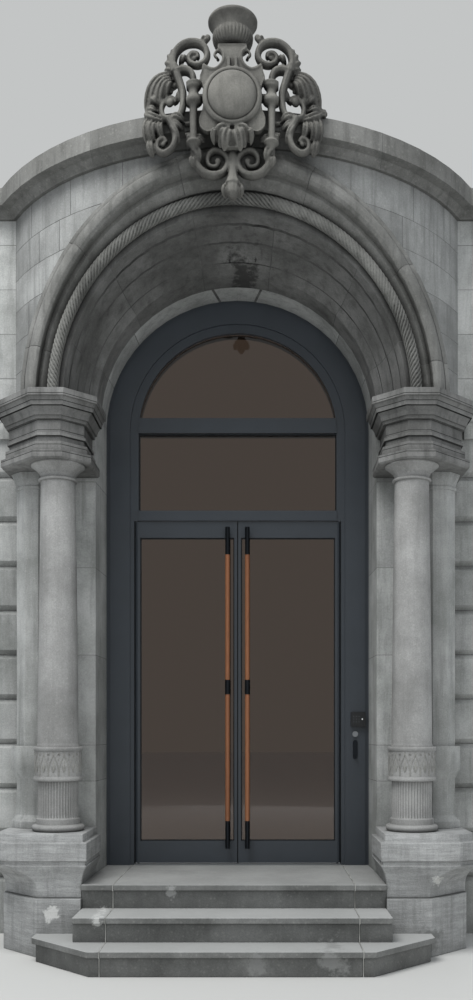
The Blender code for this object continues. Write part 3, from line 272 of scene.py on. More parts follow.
finishes = {
    # limestone: its name, the light and dark colours, the colour of soot and painted shade, and how it
    # weathers and takes painted shade
    # a stain: x, z, radius, colour
    "wallStone": limestone("bowed wall limestone", "#9c9d9b", "#80817f", "#484947", plaster=True),
    "stringStone": limestone("string course limestone", "#787875", "#61615e", "#353533", plaster=True),
    "flankStone": limestone("flank limestone", "#adaeac", "#8c8e8b", "#565755", plaster=True, paintedShadeDepth=0.5),
    "archStone": limestone("arch moulding limestone", "#7e7e7b", "#61615e", "#2c2c2a", shells=0.06,
                           paintedShadeReach=0.12, paintedShadeDepth=0.9),
    "impostStone": limestone("impost limestone", "#828280", "#5e5e5c", "#1c1c1b", shells=0.03,
                             paintedShadeReach=0.12, paintedShadeDepth=0.92),
    # the cove's limestone is drawn darker than the arch's: painted shade for its deep recess
    "shadedCoveStone": limestone("arch cove limestone", "#767674", "#565654", "#232322", shells=0.02,
                           rings=(1.06, 1.115, 1.15),
                           stains=[(0.06, 4.77, 0.16, "#1f1f1e"), (-0.044, 4.85, 0.012, "#060606"),
                                   (0.14, 4.85, 0.012, "#060606")]),
    "ropeStone": limestone("rope limestone", "#83837f", "#61615e", "#1c1c1b", paintedShadeReach=0.03, paintedShadeDepth=0.95,
                           shells=0.04, paintedShadeFrom=0.4, paintedShadeTo=1.0),
    "columnStone": limestone("column limestone", "#a2a2a0", "#868684", "#4f4f4d", streaks=0.25),
    "baseStone": limestone("pedestal limestone", "#b2b3b2", "#9c9d9c", "#5f605e", beds=0.28, bump=0.8,
                           stains=[(-1.21, 0.29, 0.07, "#d9d9d6"), (1.36, 0.50, 0.05, "#d0d0cc"),
                                   (1.30, 0.12, 0.12, "#6a6b69")]),
    "carvedStone": limestone("carved limestone", "#73726d", "#545350", "#0f0f0e", streaks=0.3, shells=0.0,
                             paintedShadeReach=0.09, paintedShadeDepth=0.97, paintedShadeFrom=0.3, paintedShadeTo=0.97),
    "bandStone": limestone("carved band limestone", "#9c9c98", "#858581", "#3c3c39", paintedShadeReach=0.02,
                           paintedShadeDepth=0.6, shells=0.04),
    "stepStone": limestone("step bluestone", "#7e7f7d", "#60615f", "#30302f", streaks=0.2,
                           treads=(0.16, 0.32, 0.48),
                           stains=[(-0.86, 0.30, 0.05, "#c9cac7"), (0.62, 0.09, 0.13, "#8b8c8a"),
                                   (0.15, 0.07, 0.10, "#868785"), (-0.42, 0.43, 0.06, "#a2a3a1")]),
    "joint": limeMortar("weathered lime mortar", "#6b6b69", "#4b4b4a"),
    # near-black bands for the imposts' sunk lines: painted shade
    "quirk": limeMortar("painted shade in a moulding quirk", "#2e2e2d", "#1e1e1d"),
    "stepJoint": limeMortar("pale lime mortar", "#b2b2ae", "#8e8e8a"),
    "framePaint": satinPaint("frame satin paint", "#2d3237", "#373c42"),
    "glass": tintedGlass("glass darkened with painted shade", "#8d8178", "#ffffff"),
    "gripWood": oiledWood("oiled grip wood", "#8a5a3c", "#4a2a1a", 2),
    "liningWood": oiledWood("lining wood", "#9a6a50", "#5e3a2a", 1, 6 * mm),
    "steel": blackenedSteel("blackened steel", "#25282c"),
    "wornSteel": blackenedSteel("worn threshold steel", "#8d9093", 0.3, 0.5),
    "plastic": mouldedPlastic("reader plastic", "#0b0c0d"),
    "rubber": mouldedPlastic("glazing seal rubber", "#101113", 0.7),
    # a white dot on the reader: painted highlight
    "lens": mouldedPlastic("reader painted glint", "#f2f4f5", 0.2, "#ffffff"),
    "keys": mouldedPlastic("reader key print", "#6b7074", 0.4, "#7b8084"),
}

nodeFinishes = {      # a star stands for left and right
    "wallStone": ["*_spandrel"],
    "stringStone": ["string_course"],
    "flankStone": ["*_wall", "*_upper_wall", "*_rear_pilaster"],
    "archStone": ["archivolt"],
    "impostStone": ["*_impost"],
    "ropeStone": ["rope_moulding"],
    "shadedCoveStone": ["arch_cove"],
    "columnStone": ["*_column_shaft", "*_column_base", "*_capital"],
    "baseStone": ["*_plinth", "*_pedestal"],
    "carvedStone": ["cartouche_shield", "cartouche_boss", "cartouche_urn", "*_scrollwork"],
    "stepStone": ["bottom_step", "middle_step", "landing"],
    "framePaint": ["*_frame_jamb", "frame_arch", "fanlight_bar", "transom_bar", "*_leaf_frame"],
    "glass": ["fanlight_glass", "transom_glass", "*_leaf_glass"],
    "gripWood": ["*_outer_grip", "*_inner_grip"],
    "liningWood": ["inner_lining"],
    "steel": ["*_outer_pull", "*_inner_pull", "lock_lever"],
    "wornSteel": ["threshold", "lock_cylinder"],
    "plastic": ["entry_reader"],
}


def bothSides(names):
    return [name.replace("*", word) for name in names for word, side in wings if "*" in name or side > 0.0]


for finish, names in nodeFinishes.items():
    for name in bothSides(names):
        slots = nodes[name].data.materials
        slots.clear()
        slots.append(finishes[finish])
print("finishes set on", sum(len(bothSides(names)) for names in nodeFinishes.values()), "nodes")


# Building helpers

def addPiece(name, shape, finish, replaced=(), body="portal", sharp=35.0, rounding=0.0):
    bmesh.ops.triangulate(shape, faces=[f for f in shape.faces if len(f.verts) > 4])
    mesh = bpy.data.meshes.new(name)
    shape.to_mesh(mesh)
    shape.free()
    mesh.shade_smooth()
    mesh.set_sharp_from_angle(angle=math.radians(sharp))
    mesh.materials.append(finishes[finish])
    piece = bpy.data.objects.new(name, mesh)
    bpy.context.scene.collection.objects.link(piece)
    if rounding:
        arris = piece.modifiers.new("arris", "BEVEL")
        arris.width = rounding
        arris.segments = 2
        arris.limit_method = "ANGLE"
        arris.angle_limit = math.radians(30.0)
    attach(piece, body)
    if replaced:
        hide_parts(*replaced)


def outward(shape):
    bmesh.ops.recalc_face_normals(shape, faces=shape.faces)


def newVerts(shape, before):
    return [vert for vert in shape.verts if vert not in before]


def copyNode(name):
    shape = bmesh.new()
    shape.from_mesh(nodes[name].data)
    bmesh.ops.remove_doubles(shape, verts=shape.verts, dist=0.02 * mm)
    bmesh.ops.dissolve_limit(shape, angle_limit=math.radians(0.3), verts=shape.verts, edges=shape.edges)
    return shape


def joined(shapes):
    whole = bmesh.new()
    whole.verts.layers.float.new("stoneTone")
    carrier = bpy.data.meshes.new("carrier")
    for i, shape in enumerate(shapes):
        tone = shape.verts.layers.float.new("stoneTone")
        for vert in shape.verts:
            vert[tone] = math.sin(12.9898 * (i + 1)) * 43.7585 % 1.0 - 0.5      # each stone has its own tone
        shape.to_mesh(carrier)
        shape.free()
        whole.from_mesh(carrier)
    bpy.data.meshes.remove(carrier)
    return whole


def keepSide(shape, point, normal):
    cut = bmesh.ops.bisect_plane(shape, geom=shape.verts[:] + shape.edges[:] + shape.faces[:], dist=1e-6,
                                 plane_co=point, plane_no=normal, clear_inner=True)["geom_cut"]
    rim = [part for part in cut if isinstance(part, bmesh.types.BMEdge) and part.is_boundary]
    if rim:
        bmesh.ops.triangle_fill(shape, use_beauty=True, use_dissolve=False, edges=rim)
    outward(shape)
    return shape


# Each saw cut: a point, the direction across the cut, and optionally an axis with the range in which a
# stone's middle has to lie to be cut.
def levelCut(z, *where):
    return (Vector((0.0, 0.0, z)), Vector((0.0, 0.0, 1.0)), where)


def uprightCut(x, *where):
    return (Vector((x, 0.0, 0.0)), Vector((1.0, 0.0, 0.0)), where)


def rayCut(degrees, *where):
    angle = math.radians(degrees)      # from the vertical, clockwise as seen from the street
    across = Vector((math.cos(angle), 0.0, -math.sin(angle)))
    return (Vector((0.0, 0.0, plan["springHeight"])), across, where)


def sawStones(stones, cuts, gap):
    mortar = []
    for point, across, where in cuts:
        kept = []
        for stone in stones:
            places = [vert.co for vert in stone.verts]
            low = Vector([min(place[i] for place in places) for i in range(3)])
            high = Vector([max(place[i] for place in places) for i in range(3)])
            middle = (low + high) / 2.0
            sides = [(place - point).dot(across) for place in places]
            inside = all(start < middle[axis] < end for axis, start, end in where)
            if not inside or min(sides) > -gap or max(sides) < gap:
                kept.append(stone)
                continue
            filling = keepSide(stone.copy(), point - across * gap / 2.0, across)
            mortar.append(keepSide(filling, point + across * gap / 2.0, -across))
            kept.append(keepSide(stone.copy(), point + across * gap / 2.0, across))
            kept.append(keepSide(stone, point - across * gap / 2.0, -across))
        stones = kept
    return stones, mortar


# Stonework laid in blocks: the solids are sawn along the joints, and the cuts are filled with mortar.
xAxis, zAxis = 0, 2
courses = {
    "flank": [0.42 + 0.33 * i for i in range(10)],
    "reveal": [1.14, 1.40, 2.05, 2.68, 3.30],
    "bow": [5.045, 4.83, 4.60, 4.37, 4.14],
    "upper": [4.115, 4.445, 4.775, 5.105],
    # the sunk lines are drawn as flush bands in a near-black finish: painted shade
    "quirks": [3.748, 3.708, 3.678, 3.598, 3.530, 3.488, 3.428, 3.372],      # sunk lines of the imposts
}
bowJoints = {      # upright joints between two heights of the bowed wall, left and right
    (5.05, 5.29): ((-1.128, -0.740, -0.33, -1.47), (1.240, 0.78, 0.36, 1.50)),
    (4.83, 5.04): ((-1.219, -1.395), (1.156, 1.41)),
    (4.37, 4.60): ((-1.50,), (1.53,)),
}
stepJointX = 0.805
flankJointX = 1.567
jambRange, flankRange = (0.9, 1.56), (1.57, 1.86)


def sideRange(side, near, far):
    return (xAxis, near, far) if side > 0.0 else (xAxis, -far, -near)


masonry = {}      # node: finish, mortar finish, joint width, worn edge, saw cuts
for i, (word, side) in enumerate(wings):
    masonry[word + "_spandrel"] = ("wallStone", "joint", 3 * mm, 2 * mm, [
        levelCut(z) for z in courses["bow"]] + [
        uprightCut(x, (zAxis, *band)) for band, places in bowJoints.items() for x in places[i]])
masonry["string_course"] = ("stringStone", "joint", 3 * mm, 3 * mm, [
    uprightCut(x) for x in (-1.52, -0.948, -0.30, 0.30, 0.985, 1.52)])
masonry["archivolt"] = ("archStone", "joint", 3 * mm, 2.5 * mm, [
    rayCut(-14.5), rayCut(21.0),
    rayCut(54.0, sideRange(1.0, 0.3, 2.0)), rayCut(-48.0, sideRange(-1.0, 0.3, 2.0)),
    rayCut(-76.0, sideRange(-1.0, 1.0, 2.0)), rayCut(80.0, sideRange(1.0, 1.0, 2.0))])
masonry["arch_cove"] = ("shadedCoveStone", "joint", 3 * mm, 2 * mm, [
    rayCut(-13.5), rayCut(13.5)] + [
    rayCut(way * degrees, sideRange(way, near, 2.0)) for degrees, near in ((45.0, 0.25), (72.0, 0.9))
    for way in (1.0, -1.0)])
for word, side in wings:
    masonry[word + "_upper_wall"] = ("flankStone", "joint", 3 * mm, 2 * mm, [
        levelCut(z) for z in courses["upper"]])
for node in ("bottom_step", "middle_step", "landing"):
    masonry[node] = ("stepStone", "stepJoint", 5 * mm, 5 * mm, [
        uprightCut(-stepJointX), uprightCut(stepJointX)])
for word, side in wings:
    masonry[word + "_impost"] = ("impostStone", "quirk", 3 * mm, 1.5 * mm, [
        levelCut(z) for z in courses["quirks"]])
    masonry[word + "_wall"] = ("flankStone", "joint", 3 * mm, 2 * mm, [
        uprightCut(side * flankJointX)] + [
        levelCut(z, sideRange(side, *jambRange)) for z in courses["reveal"]] + [
        levelCut(z, sideRange(side, *flankRange)) for z in courses["flank"]])

for node, (finish, mortarFinish, joint, edge, cuts) in masonry.items():
    stones, mortar = sawStones([copyNode(node)], cuts, joint)
    addPiece(node + "_blocks", joined(stones), finish, [node], rounding=edge)
    addPiece(node + "_joints", joined(mortar), mortarFinish)
print("masonry laid")

# Single stones: the same solids with worn arrises
worn = {      # node: finish, worn edge
    "*_plinth": ("baseStone", 5 * mm),
    "*_pedestal": ("baseStone", 6 * mm),
    "*_rear_pilaster": ("flankStone", 2.5 * mm),
}
for names, (finish, edge) in worn.items():
    for node in bothSides([names]):
        addPiece(node + "_stone", copyNode(node), finish, [node], rounding=edge)
print("worn stones ready")


# Turned pieces. A profile holds (radius, height along the axis) pairs.
def addTurn(shape, profile, centre, axis, steps):
    before = set(shape.verts)
    middle = Vector(centre)
    chain = []
    for radius, along in profile:
        chain.append(shape.verts.new(
            middle + Vector((radius, 0.0, along) if axis == "Z" else (radius, -along, 0.0))))
    edges = [shape.edges.new(pair) for pair in zip(chain, chain[1:])]
    bmesh.ops.spin(shape, geom=chain + edges, cent=middle, angle=fullTurn, steps=steps, use_merge=True,
                   axis=(0.0, 0.0, 1.0) if axis == "Z" else (0.0, 1.0, 0.0))
    bmesh.ops.remove_doubles(shape, verts=newVerts(shape, before), dist=0.01 * mm)
    return newVerts(shape, before)


def halfRound(reach, low, radius, steps):
    angles = [math.pi * i / steps - quarterTurn for i in range(steps + 1)]
    return [(reach - radius + radius * math.cos(a), low + radius + radius * math.sin(a)) for a in angles]


# Columns
column = {
    "plateTop": 0.815,
    "drumLow": 0.905,
    "drumHigh": 1.16,
    "bandHigh": 1.394,
    "neckline": 3.213,
    "bellHigh": 3.327,
    "torus": 0.18,
    "torusRound": 23.5 * mm,
    "collar": 0.15,
    "drum": 0.138,
    "band": 0.166,
    "rim": 32 * mm,
    "rimStep": 8 * mm,
    "fillet": 3 * mm,
    "shaftLow": 0.1385,
    "shaftHigh": 0.1175,
    "entasis": 1.25,
    "astragal": 0.134,
    "astragalRound": 11 * mm,
    "bell": 0.184,
    "reeds": 42,
    "reedDepth": 6 * mm,
    "sides": 96,
    "motifs": 14,            # ogee arches round the band
    "motifRelief": 3.5 * mm,
    "pearls": 28,
    "pearl": 6 * mm,
}


def columnCentre(side):
    return (side * plan["columnX"], plan["columnY"], 0.0)


def makeColumnBase(word, side):
    c = column
    centre = columnCentre(side)
    low, high, band, rim, fillet = c["drumHigh"], c["bandHigh"], c["band"], c["rim"], c["fillet"]
    profile = [(0.0, c["plateTop"])] + halfRound(c["torus"], c["plateTop"], c["torusRound"], 8)
    profile += [(c["collar"], c["plateTop"] + 49 * mm), (c["collar"], c["drumLow"] - 6 * mm),
                (c["drum"] + 3 * mm, c["drumLow"])]
    rings = 10
    profile += [(c["drum"], c["drumLow"] + 4 * mm + (low - c["drumLow"] - 8 * mm) * i / rings)
                for i in range(rings + 1)]
    profile += [(band - fillet, low), (band, low + 4 * mm), (band, low + rim - 9 * mm),
                (band - fillet, low + rim - 6 * mm), (band - fillet, low + rim - 3 * mm),
                (band - c["rimStep"], low + rim), (band - c["rimStep"], high - rim),
                (band - fillet, high - rim + 3 * mm), (band - fillet, high - rim + 6 * mm),
                (band, high - rim + 9 * mm), (band, high - 4 * mm), (band - 4 * mm, high), (0.0, high)]
    shape = bmesh.new()
    for vert in addTurn(shape, profile, centre, "Z", c["reeds"] * 6):
        flat = Vector((vert.co.x - centre[0], vert.co.y - centre[1], 0.0))
        if c["drumLow"] + 2 * mm < vert.co.z < low - 2 * mm and flat.length > 0.1:
            turn = math.atan2(flat.y, flat.x) * c["reeds"]
            vert.co -= flat.normalized() * c["reedDepth"] * (1.0 - abs(math.cos(turn / 2.0)))
    outward(shape)
    node = word + "_column_base"
    addPiece(node + "_stone", shape, "columnStone", [node], sharp=50.0)


def addRod(shape, points, radii):
    curve = bpy.data.curves.new("rod", "CURVE")
    curve.dimensions = "3D"
    curve.bevel_depth = 1.0
    curve.bevel_resolution = 2
    line = curve.splines.new("POLY")
    line.points.add(len(points) - 1)
    for knot, point, radius in zip(line.points, points, radii):
        knot.co = (*point, 1.0)
        knot.radius = radius
    holder = bpy.data.objects.new("rod", curve)
    mesh = bpy.data.meshes.new_from_object(holder)
    before = set(shape.verts)
    shape.from_mesh(mesh)
    bmesh.ops.holes_fill(shape, edges=[edge for edge in shape.edges if edge.is_boundary])
    bpy.data.objects.remove(holder)
    bpy.data.meshes.remove(mesh)
    bpy.data.curves.remove(curve)
    return newVerts(shape, before)


def makeBandCarving(word, side):
    c = column
    centre = columnCentre(side)
    radius = c["band"] - c["rimStep"]
    wide = fullTurn * radius / c["motifs"]
    low = c["drumHigh"] + c["rim"] + 6 * mm
    tall = c["bandHigh"] - c["drumHigh"] - 2.0 * c["rim"] - 12 * mm
    ogee = [(0.47, 0.0), (0.45, 0.30), (0.36, 0.52), (0.20, 0.68), (0.08, 0.80), (0.0, 1.0)]
    leaves = [  # from, to, half width, all in shares of the motif
        ((0.0, 0.12), (0.0, 0.66), 0.10), ((0.0, 0.12), (0.22, 0.44), 0.07),
        ((0.0, 0.12), (-0.22, 0.44), 0.07), ((0.40, 0.86), (0.50, 0.98), 0.08),
        ((-0.40, 0.86), (-0.50, 0.98), 0.08), ((0.44, 0.62), (0.50, 0.8), 0.05),
    ]
    shape = bmesh.new()
    for i in range(c["motifs"]):
        start = wide * i
        for way in (-1.0, 1.0):
            points = [(start + way * wide * a, 0.0, low + tall * h) for a, h in ogee]
            addRod(shape, points, [c["motifRelief"]] * len(points))
        for tail, tip, half in leaves:
            ends = [Vector((start + wide * a, 0.0, low + tall * h)) for a, h in (tail, tip)]
            along = ends[1] - ends[0]
            turned = along.to_track_quat("Z", "Y").to_matrix().to_4x4()
            size = Matrix.Diagonal((wide * half, c["motifRelief"], along.length / 2.0, 1.0))
            bmesh.ops.create_uvsphere(shape, u_segments=8, v_segments=5, radius=1.0,
                                      matrix=Matrix.Translation((ends[0] + ends[1]) / 2.0) @ turned @ size)
    for vert in shape.verts:
        angle = vert.co.x / radius
        reach = radius - vert.co.y
        vert.co.x = centre[0] + reach * math.sin(angle)
        vert.co.y = centre[1] - reach * math.cos(angle)
    outward(shape)
    addPiece(word + "_band_carving", shape, "bandStone", sharp=60.0)


def makeShaft(word, side):
    c = column
    low, high, foot = c["bandHigh"], c["neckline"], 26 * mm
    profile = [(0.0, low), (c["shaftLow"] + 7 * mm, low), (c["shaftLow"] + 6 * mm, low + 8 * mm),
               (c["shaftLow"] + 1 * mm, low + 16 * mm)]
    rings = 14
    for i in range(rings + 1):
        share = i / rings
        profile.append((c["shaftLow"] + (c["shaftHigh"] - c["shaftLow"]) * share ** c["entasis"],
                        low + foot + (high - low - foot) * share))
    shape = bmesh.new()
    addTurn(shape, profile + [(0.0, high)], columnCentre(side), "Z", c["sides"])
    outward(shape)
    node = word + "_column_shaft"
    addPiece(node + "_stone", shape, "columnStone", [node])


def makeCapital(word, side):
    c = column
    centre = columnCentre(side)
    low, high, neck = c["neckline"], c["bellHigh"], 28 * mm
    profile = [(0.0, low)] + halfRound(c["astragal"], low, c["astragalRound"], 6)
    profile.append((c["shaftHigh"] + 1 * mm, low + 24 * mm))
    rings = 10
    for i in range(rings + 1):
        share = i / rings
        flare = 1.0 - math.cos(share * quarterTurn)
        profile.append((c["shaftHigh"] + (c["bell"] - 5 * mm - c["shaftHigh"]) * flare,
                        low + neck + (high - 12 * mm - low - neck) * share))
    profile += [(c["bell"], high - 9 * mm), (c["bell"], high - 0.3 * mm), (0.0, high - 0.3 * mm)]
    shape = bmesh.new()
    addTurn(shape, profile, centre, "Z", c["sides"])
    for i in range(c["pearls"]):
        angle = fullTurn * i / c["pearls"]
        reach = c["shaftHigh"] + 7 * mm
        place = (centre[0] + reach * math.cos(angle), centre[1] + reach * math.sin(angle), low + 55 * mm)
        bmesh.ops.create_uvsphere(shape, u_segments=8, v_segments=6, radius=c["pearl"],
                                  matrix=Matrix.Translation(place))
    outward(shape)
    node = word + "_capital"
    addPiece(node + "_stone", shape, "columnStone", [node])


for word, side in wings:
    makeColumnBase(word, side)
    makeBandCarving(word, side)
    makeShaft(word, side)
    makeCapital(word, side)
print("columns turned and carved")


# Rope moulding in the angle of the arch: a cable of slanting strands that mirror at the crown, worn
# nearly smooth to the right of it.
rope = {
    "ring": 1.2372,
    "radius": 42.3 * mm,
    "depth": 1.01,           # before the wall plane
    "strands": 8,
    "pitch": 33 * mm,
    "relief": 13 * mm,
    "steps": 720,
    "sides": 40,
    "wornFrom": 12.0,        # degrees from the vertical
    "wornTo": 62.0,
    "wornShare": 0.5,
}


def bowDrop(x, radius):
    return radius - math.sqrt(radius ** 2 - x ** 2)


def makeRope():
    r = rope
    shape = bmesh.new()
    bmesh.ops.create_grid(shape, x_segments=r["steps"], y_segments=r["sides"], size=0.5)
    for vert in shape.verts:
        fromCrown = math.pi * vert.co.x
        spin = fullTurn * (vert.co.y + 0.5)
        twist = abs(fromCrown) * r["ring"] * fullTurn / r["pitch"]
        ridge = abs(math.sin((r["strands"] * spin - twist) / 2.0)) ** 0.7
        isWorn = r["wornFrom"] < math.degrees(fromCrown) < r["wornTo"]
        radius = r["radius"] - r["relief"] * (r["wornShare"] if isWorn else 1.0) * (1.0 - ridge)
        reach = r["ring"] + radius * math.cos(spin)
        x = reach * math.sin(fromCrown)
        y = -r["depth"] - radius * math.sin(spin) + plan["ropeBowShare"] * bowDrop(x, plan["archBow"])
        vert.co = (x, y, plan["springHeight"] + reach * math.cos(fromCrown))
    bmesh.ops.remove_doubles(shape, verts=shape.verts, dist=0.01 * mm)
    bmesh.ops.holes_fill(shape, edges=[edge for edge in shape.edges if edge.is_boundary])
    outward(shape)
    addPiece("rope_strands", shape, "ropeStone", ["rope_moulding"], sharp=80.0)


makeRope()
print("rope cut")


# Cartouche. Places are shares of its half width, outwards and upwards from the middle of the boss.
cartouche = {
    "half": 0.5625,
    "bossZ": 5.50,
    "joint": 0.292,          # the side scrolls meet the shield here
    "shieldFront": 0.085,
    "shieldBack": 0.14,
    "shieldThick": 46 * mm,
    "bossDrop": -12 * mm,    # the boss hangs this much below the middle of the shield
    "bossRadius": 0.157,
    "bossDeep": 0.085,
    "urnRadius": 0.157,
    "urnTall": 0.205,
    "urnFoot": 0.33,         # above the middle of the shield
    "flutes": 34,
    "torchX": 0.247,
    "torchRadius": 52 * mm,
    "torchTall": 0.43,
    "torchTop": 0.10,
    "dropRadius": 52 * mm,
    "dropTall": 0.33,
    "dropFoot": -0.615,
    "stem": 27 * mm,
    "stemTip": 15 * mm,
    "tie": 13 * mm,
    "squash": 1.7,           # a stem is this much deeper than it is wide
    "rollDepth": -0.048,     # the lower volutes lie on the archivolt
    "petals": 6,
    "voxel": 4.9 * mm,
}
armLine = [(0.64, 0.33), (0.54, 0.35), (0.455, 0.29), (0.435, 0.14)]
linkLine = [(0.22, 0.02), (0.45, 0.02)]
upperTie = [(0.45, -0.24), (0.54, -0.24)]
lowerTie = [(0.45, -0.36), (0.54, -0.37)]
curlLine = [(0.655, 0.33), (0.675, 0.45), (0.635, 0.57), (0.53, 0.645), (0.40, 0.645), (0.315, 0.59),
            (0.285, 0.50), (0.32, 0.425), (0.40, 0.40), (0.475, 0.43), (0.50, 0.49), (0.46, 0.54),
            (0.40, 0.53), (0.395, 0.485)]
stalkLine = [(0.66, 0.40), (0.60, 0.22), (0.56, 0.08), (0.562, -0.06), (0.605, -0.155), (0.69, -0.185),
             (0.785, -0.15), (0.81, -0.05), (0.765, 0.04), (0.69, 0.06), (0.645, 0.0)]
lowCurlLine = [(0.73, -0.17), (0.665, -0.30), (0.65, -0.42), (0.695, -0.515), (0.785, -0.555), (0.86, -0.50),
               (0.85, -0.41), (0.785, -0.385), (0.75, -0.44)]
voluteLine = [(0.438, -0.50), (0.415, -0.665), (0.33, -0.775), (0.21, -0.81), (0.10, -0.77), (0.05, -0.645),
              (0.11, -0.545), (0.21, -0.52), (0.285, -0.59), (0.275, -0.685), (0.19, -0.705), (0.155, -0.64)]
rimLine = [(0.66, 0.33), (0.77, 0.33), (0.88, 0.22), (0.955, 0.07), (0.985, -0.07), (0.975, -0.21),
           (0.955, -0.33), (0.915, -0.45)]
crestLine = [(0.33, 0.35), (0.265, 0.31), (0.20, 0.30), (0.135, 0.345), (0.10, 0.42), (0.115, 0.49),
             (0.165, 0.515), (0.20, 0.47), (0.165, 0.43)]
shieldShares = [(0.06, -0.58), (0.10, -0.43), (0.19, -0.39), (0.28, -0.41), (0.355, -0.36), (0.372, -0.26),
                (0.335, -0.15), (0.315, 0.0), (0.335, 0.12), (0.366, 0.20), (0.345, 0.27), (0.33, 0.345),
                (0.27, 0.305), (0.20, 0.30), (0.13, 0.35), (0.098, 0.42), (0.11, 0.49), (0.16, 0.53),
                (0.165, 0.575)]
coreShares = [(0.06, -0.55), (0.24, -0.34), (0.27, 0.0), (0.27, 0.24), (0.08, 0.40), (0.09, 0.57)]
sheetShares = [(0.60, 0.30), (0.64, 0.37), (0.76, 0.34), (0.87, 0.23), (0.95, 0.08), (0.985, -0.06),
               (0.98, -0.19), (0.965, -0.33), (0.92, -0.47), (0.885, -0.39), (0.90, -0.30), (0.835, -0.27),
               (0.82, -0.21), (0.885, -0.14), (0.825, -0.10), (0.81, -0.04), (0.87, 0.03), (0.80, 0.05),
               (0.77, 0.11), (0.80, 0.18), (0.73, 0.19), (0.69, 0.25)]
# A lobe of a leaf: base, bend, tip, half width, rise
scrollLobes = [
    ((0.66, 0.34), (0.98, 0.31), (0.985, -0.07), 0.055, 0.05),
    ((0.66, 0.31), (0.91, 0.26), (0.925, -0.06), 0.055, 0.055),
    ((0.67, 0.28), (0.84, 0.22), (0.855, -0.04), 0.05, 0.06),
    ((0.67, 0.25), (0.77, 0.19), (0.775, 0.04), 0.045, 0.055),
    ((0.93, 0.12), (0.91, 0.02), (0.83, 0.01), 0.032, 0.05),
    ((0.98, 0.0), (0.93, -0.08), (0.84, -0.06), 0.035, 0.05),
    ((0.89, 0.17), (0.84, 0.10), (0.78, 0.09), 0.03, 0.045),
    ((1.0, -0.04), (0.97, -0.18), (0.75, -0.17), 0.045, 0.05),
    ((0.73, -0.16), (0.62, -0.16), (0.53, -0.22), 0.038, 0.05),
    ((0.72, -0.19), (0.64, -0.26), (0.55, -0.30), 0.034, 0.045),
    ((0.73, -0.21), (0.64, -0.33), (0.60, -0.45), 0.036, 0.05),
    ((0.80, -0.18), (0.87, -0.29), (0.78, -0.38), 0.045, 0.05),
    ((0.86, -0.16), (0.98, -0.27), (0.89, -0.43), 0.052, 0.055),
    ((0.93, -0.12), (1.03, -0.24), (0.965, -0.42), 0.045, 0.05),
    ((0.93, -0.36), (0.97, -0.48), (0.90, -0.57), 0.045, 0.045),
    ((0.655, 0.40), (0.69, 0.48), (0.735, 0.58), 0.04, 0.045),
    ((0.66, 0.38), (0.71, 0.43), (0.77, 0.50), 0.04, 0.045),
    ((0.66, 0.36), (0.72, 0.37), (0.775, 0.42), 0.034, 0.04),
    ((0.64, 0.46), (0.67, 0.55), (0.69, 0.63), 0.032, 0.04),
    ((0.61, 0.43), (0.55, 0.47), (0.555, 0.545), 0.034, 0.045),
    ((0.62, 0.40), (0.57, 0.375), (0.52, 0.385), 0.028, 0.04),
    ((0.59, 0.14), (0.62, 0.10), (0.63, 0.0), 0.03, 0.03),
]
palmetteLobes = [
    ((0.0, -0.37), (0.01, -0.45), (0.0, -0.555), 0.055, 0.06),
    ((0.0, -0.37), (0.075, -0.44), (0.09, -0.60), 0.062, 0.065),
    ((0.02, -0.385), (0.15, -0.37), (0.19, -0.50), 0.062, 0.065),
    ((0.13, -0.42), (0.25, -0.41), (0.20, -0.53), 0.034, 0.07),
    ((0.05, -0.38), (0.11, -0.42), (0.14, -0.56), 0.05, 0.05),
]
shieldLobes = [
    ((0.36, 0.64), (0.31, 0.67), (0.283, 0.70), 0.045, 0.045),
    ((0.44, -0.48), (0.39, -0.56), (0.375, -0.67), 0.045, 0.035),
    ((0.43, -0.60), (0.48, -0.66), (0.43, -0.73), 0.04, 0.035),
    ((0.30, -0.44), (0.37, -0.42), (0.43, -0.44), 0.04, 0.03),
    ((0.42, -0.41), (0.50, -0.41), (0.535, -0.45), 0.04, 0.035),
    ((0.43, -0.41), (0.37, -0.41), (0.33, -0.45), 0.04, 0.035),
]
dropLobes = [
    ((0.0, -0.88), (0.0, -0.99), (0.0, -1.09), 0.07, 0.05),
    ((0.05, -0.89), (0.10, -0.97), (0.075, -1.05), 0.05, 0.045),
]
scrollBeads = [((0.71, 0.0), 27 * mm), ((0.665, 0.20), 16 * mm), ((0.435, 0.485), 17 * mm),
               ((0.825, 0.04), 24 * mm), ((0.79, -0.455), 19 * mm), ((0.70, 0.14), 14 * mm)]
shieldBeads = [((0.283, 0.70), 21 * mm), ((0.435, 0.485), 17 * mm), ((0.165, -0.65), 22 * mm),
               ((0.165, 0.47), 11 * mm)]
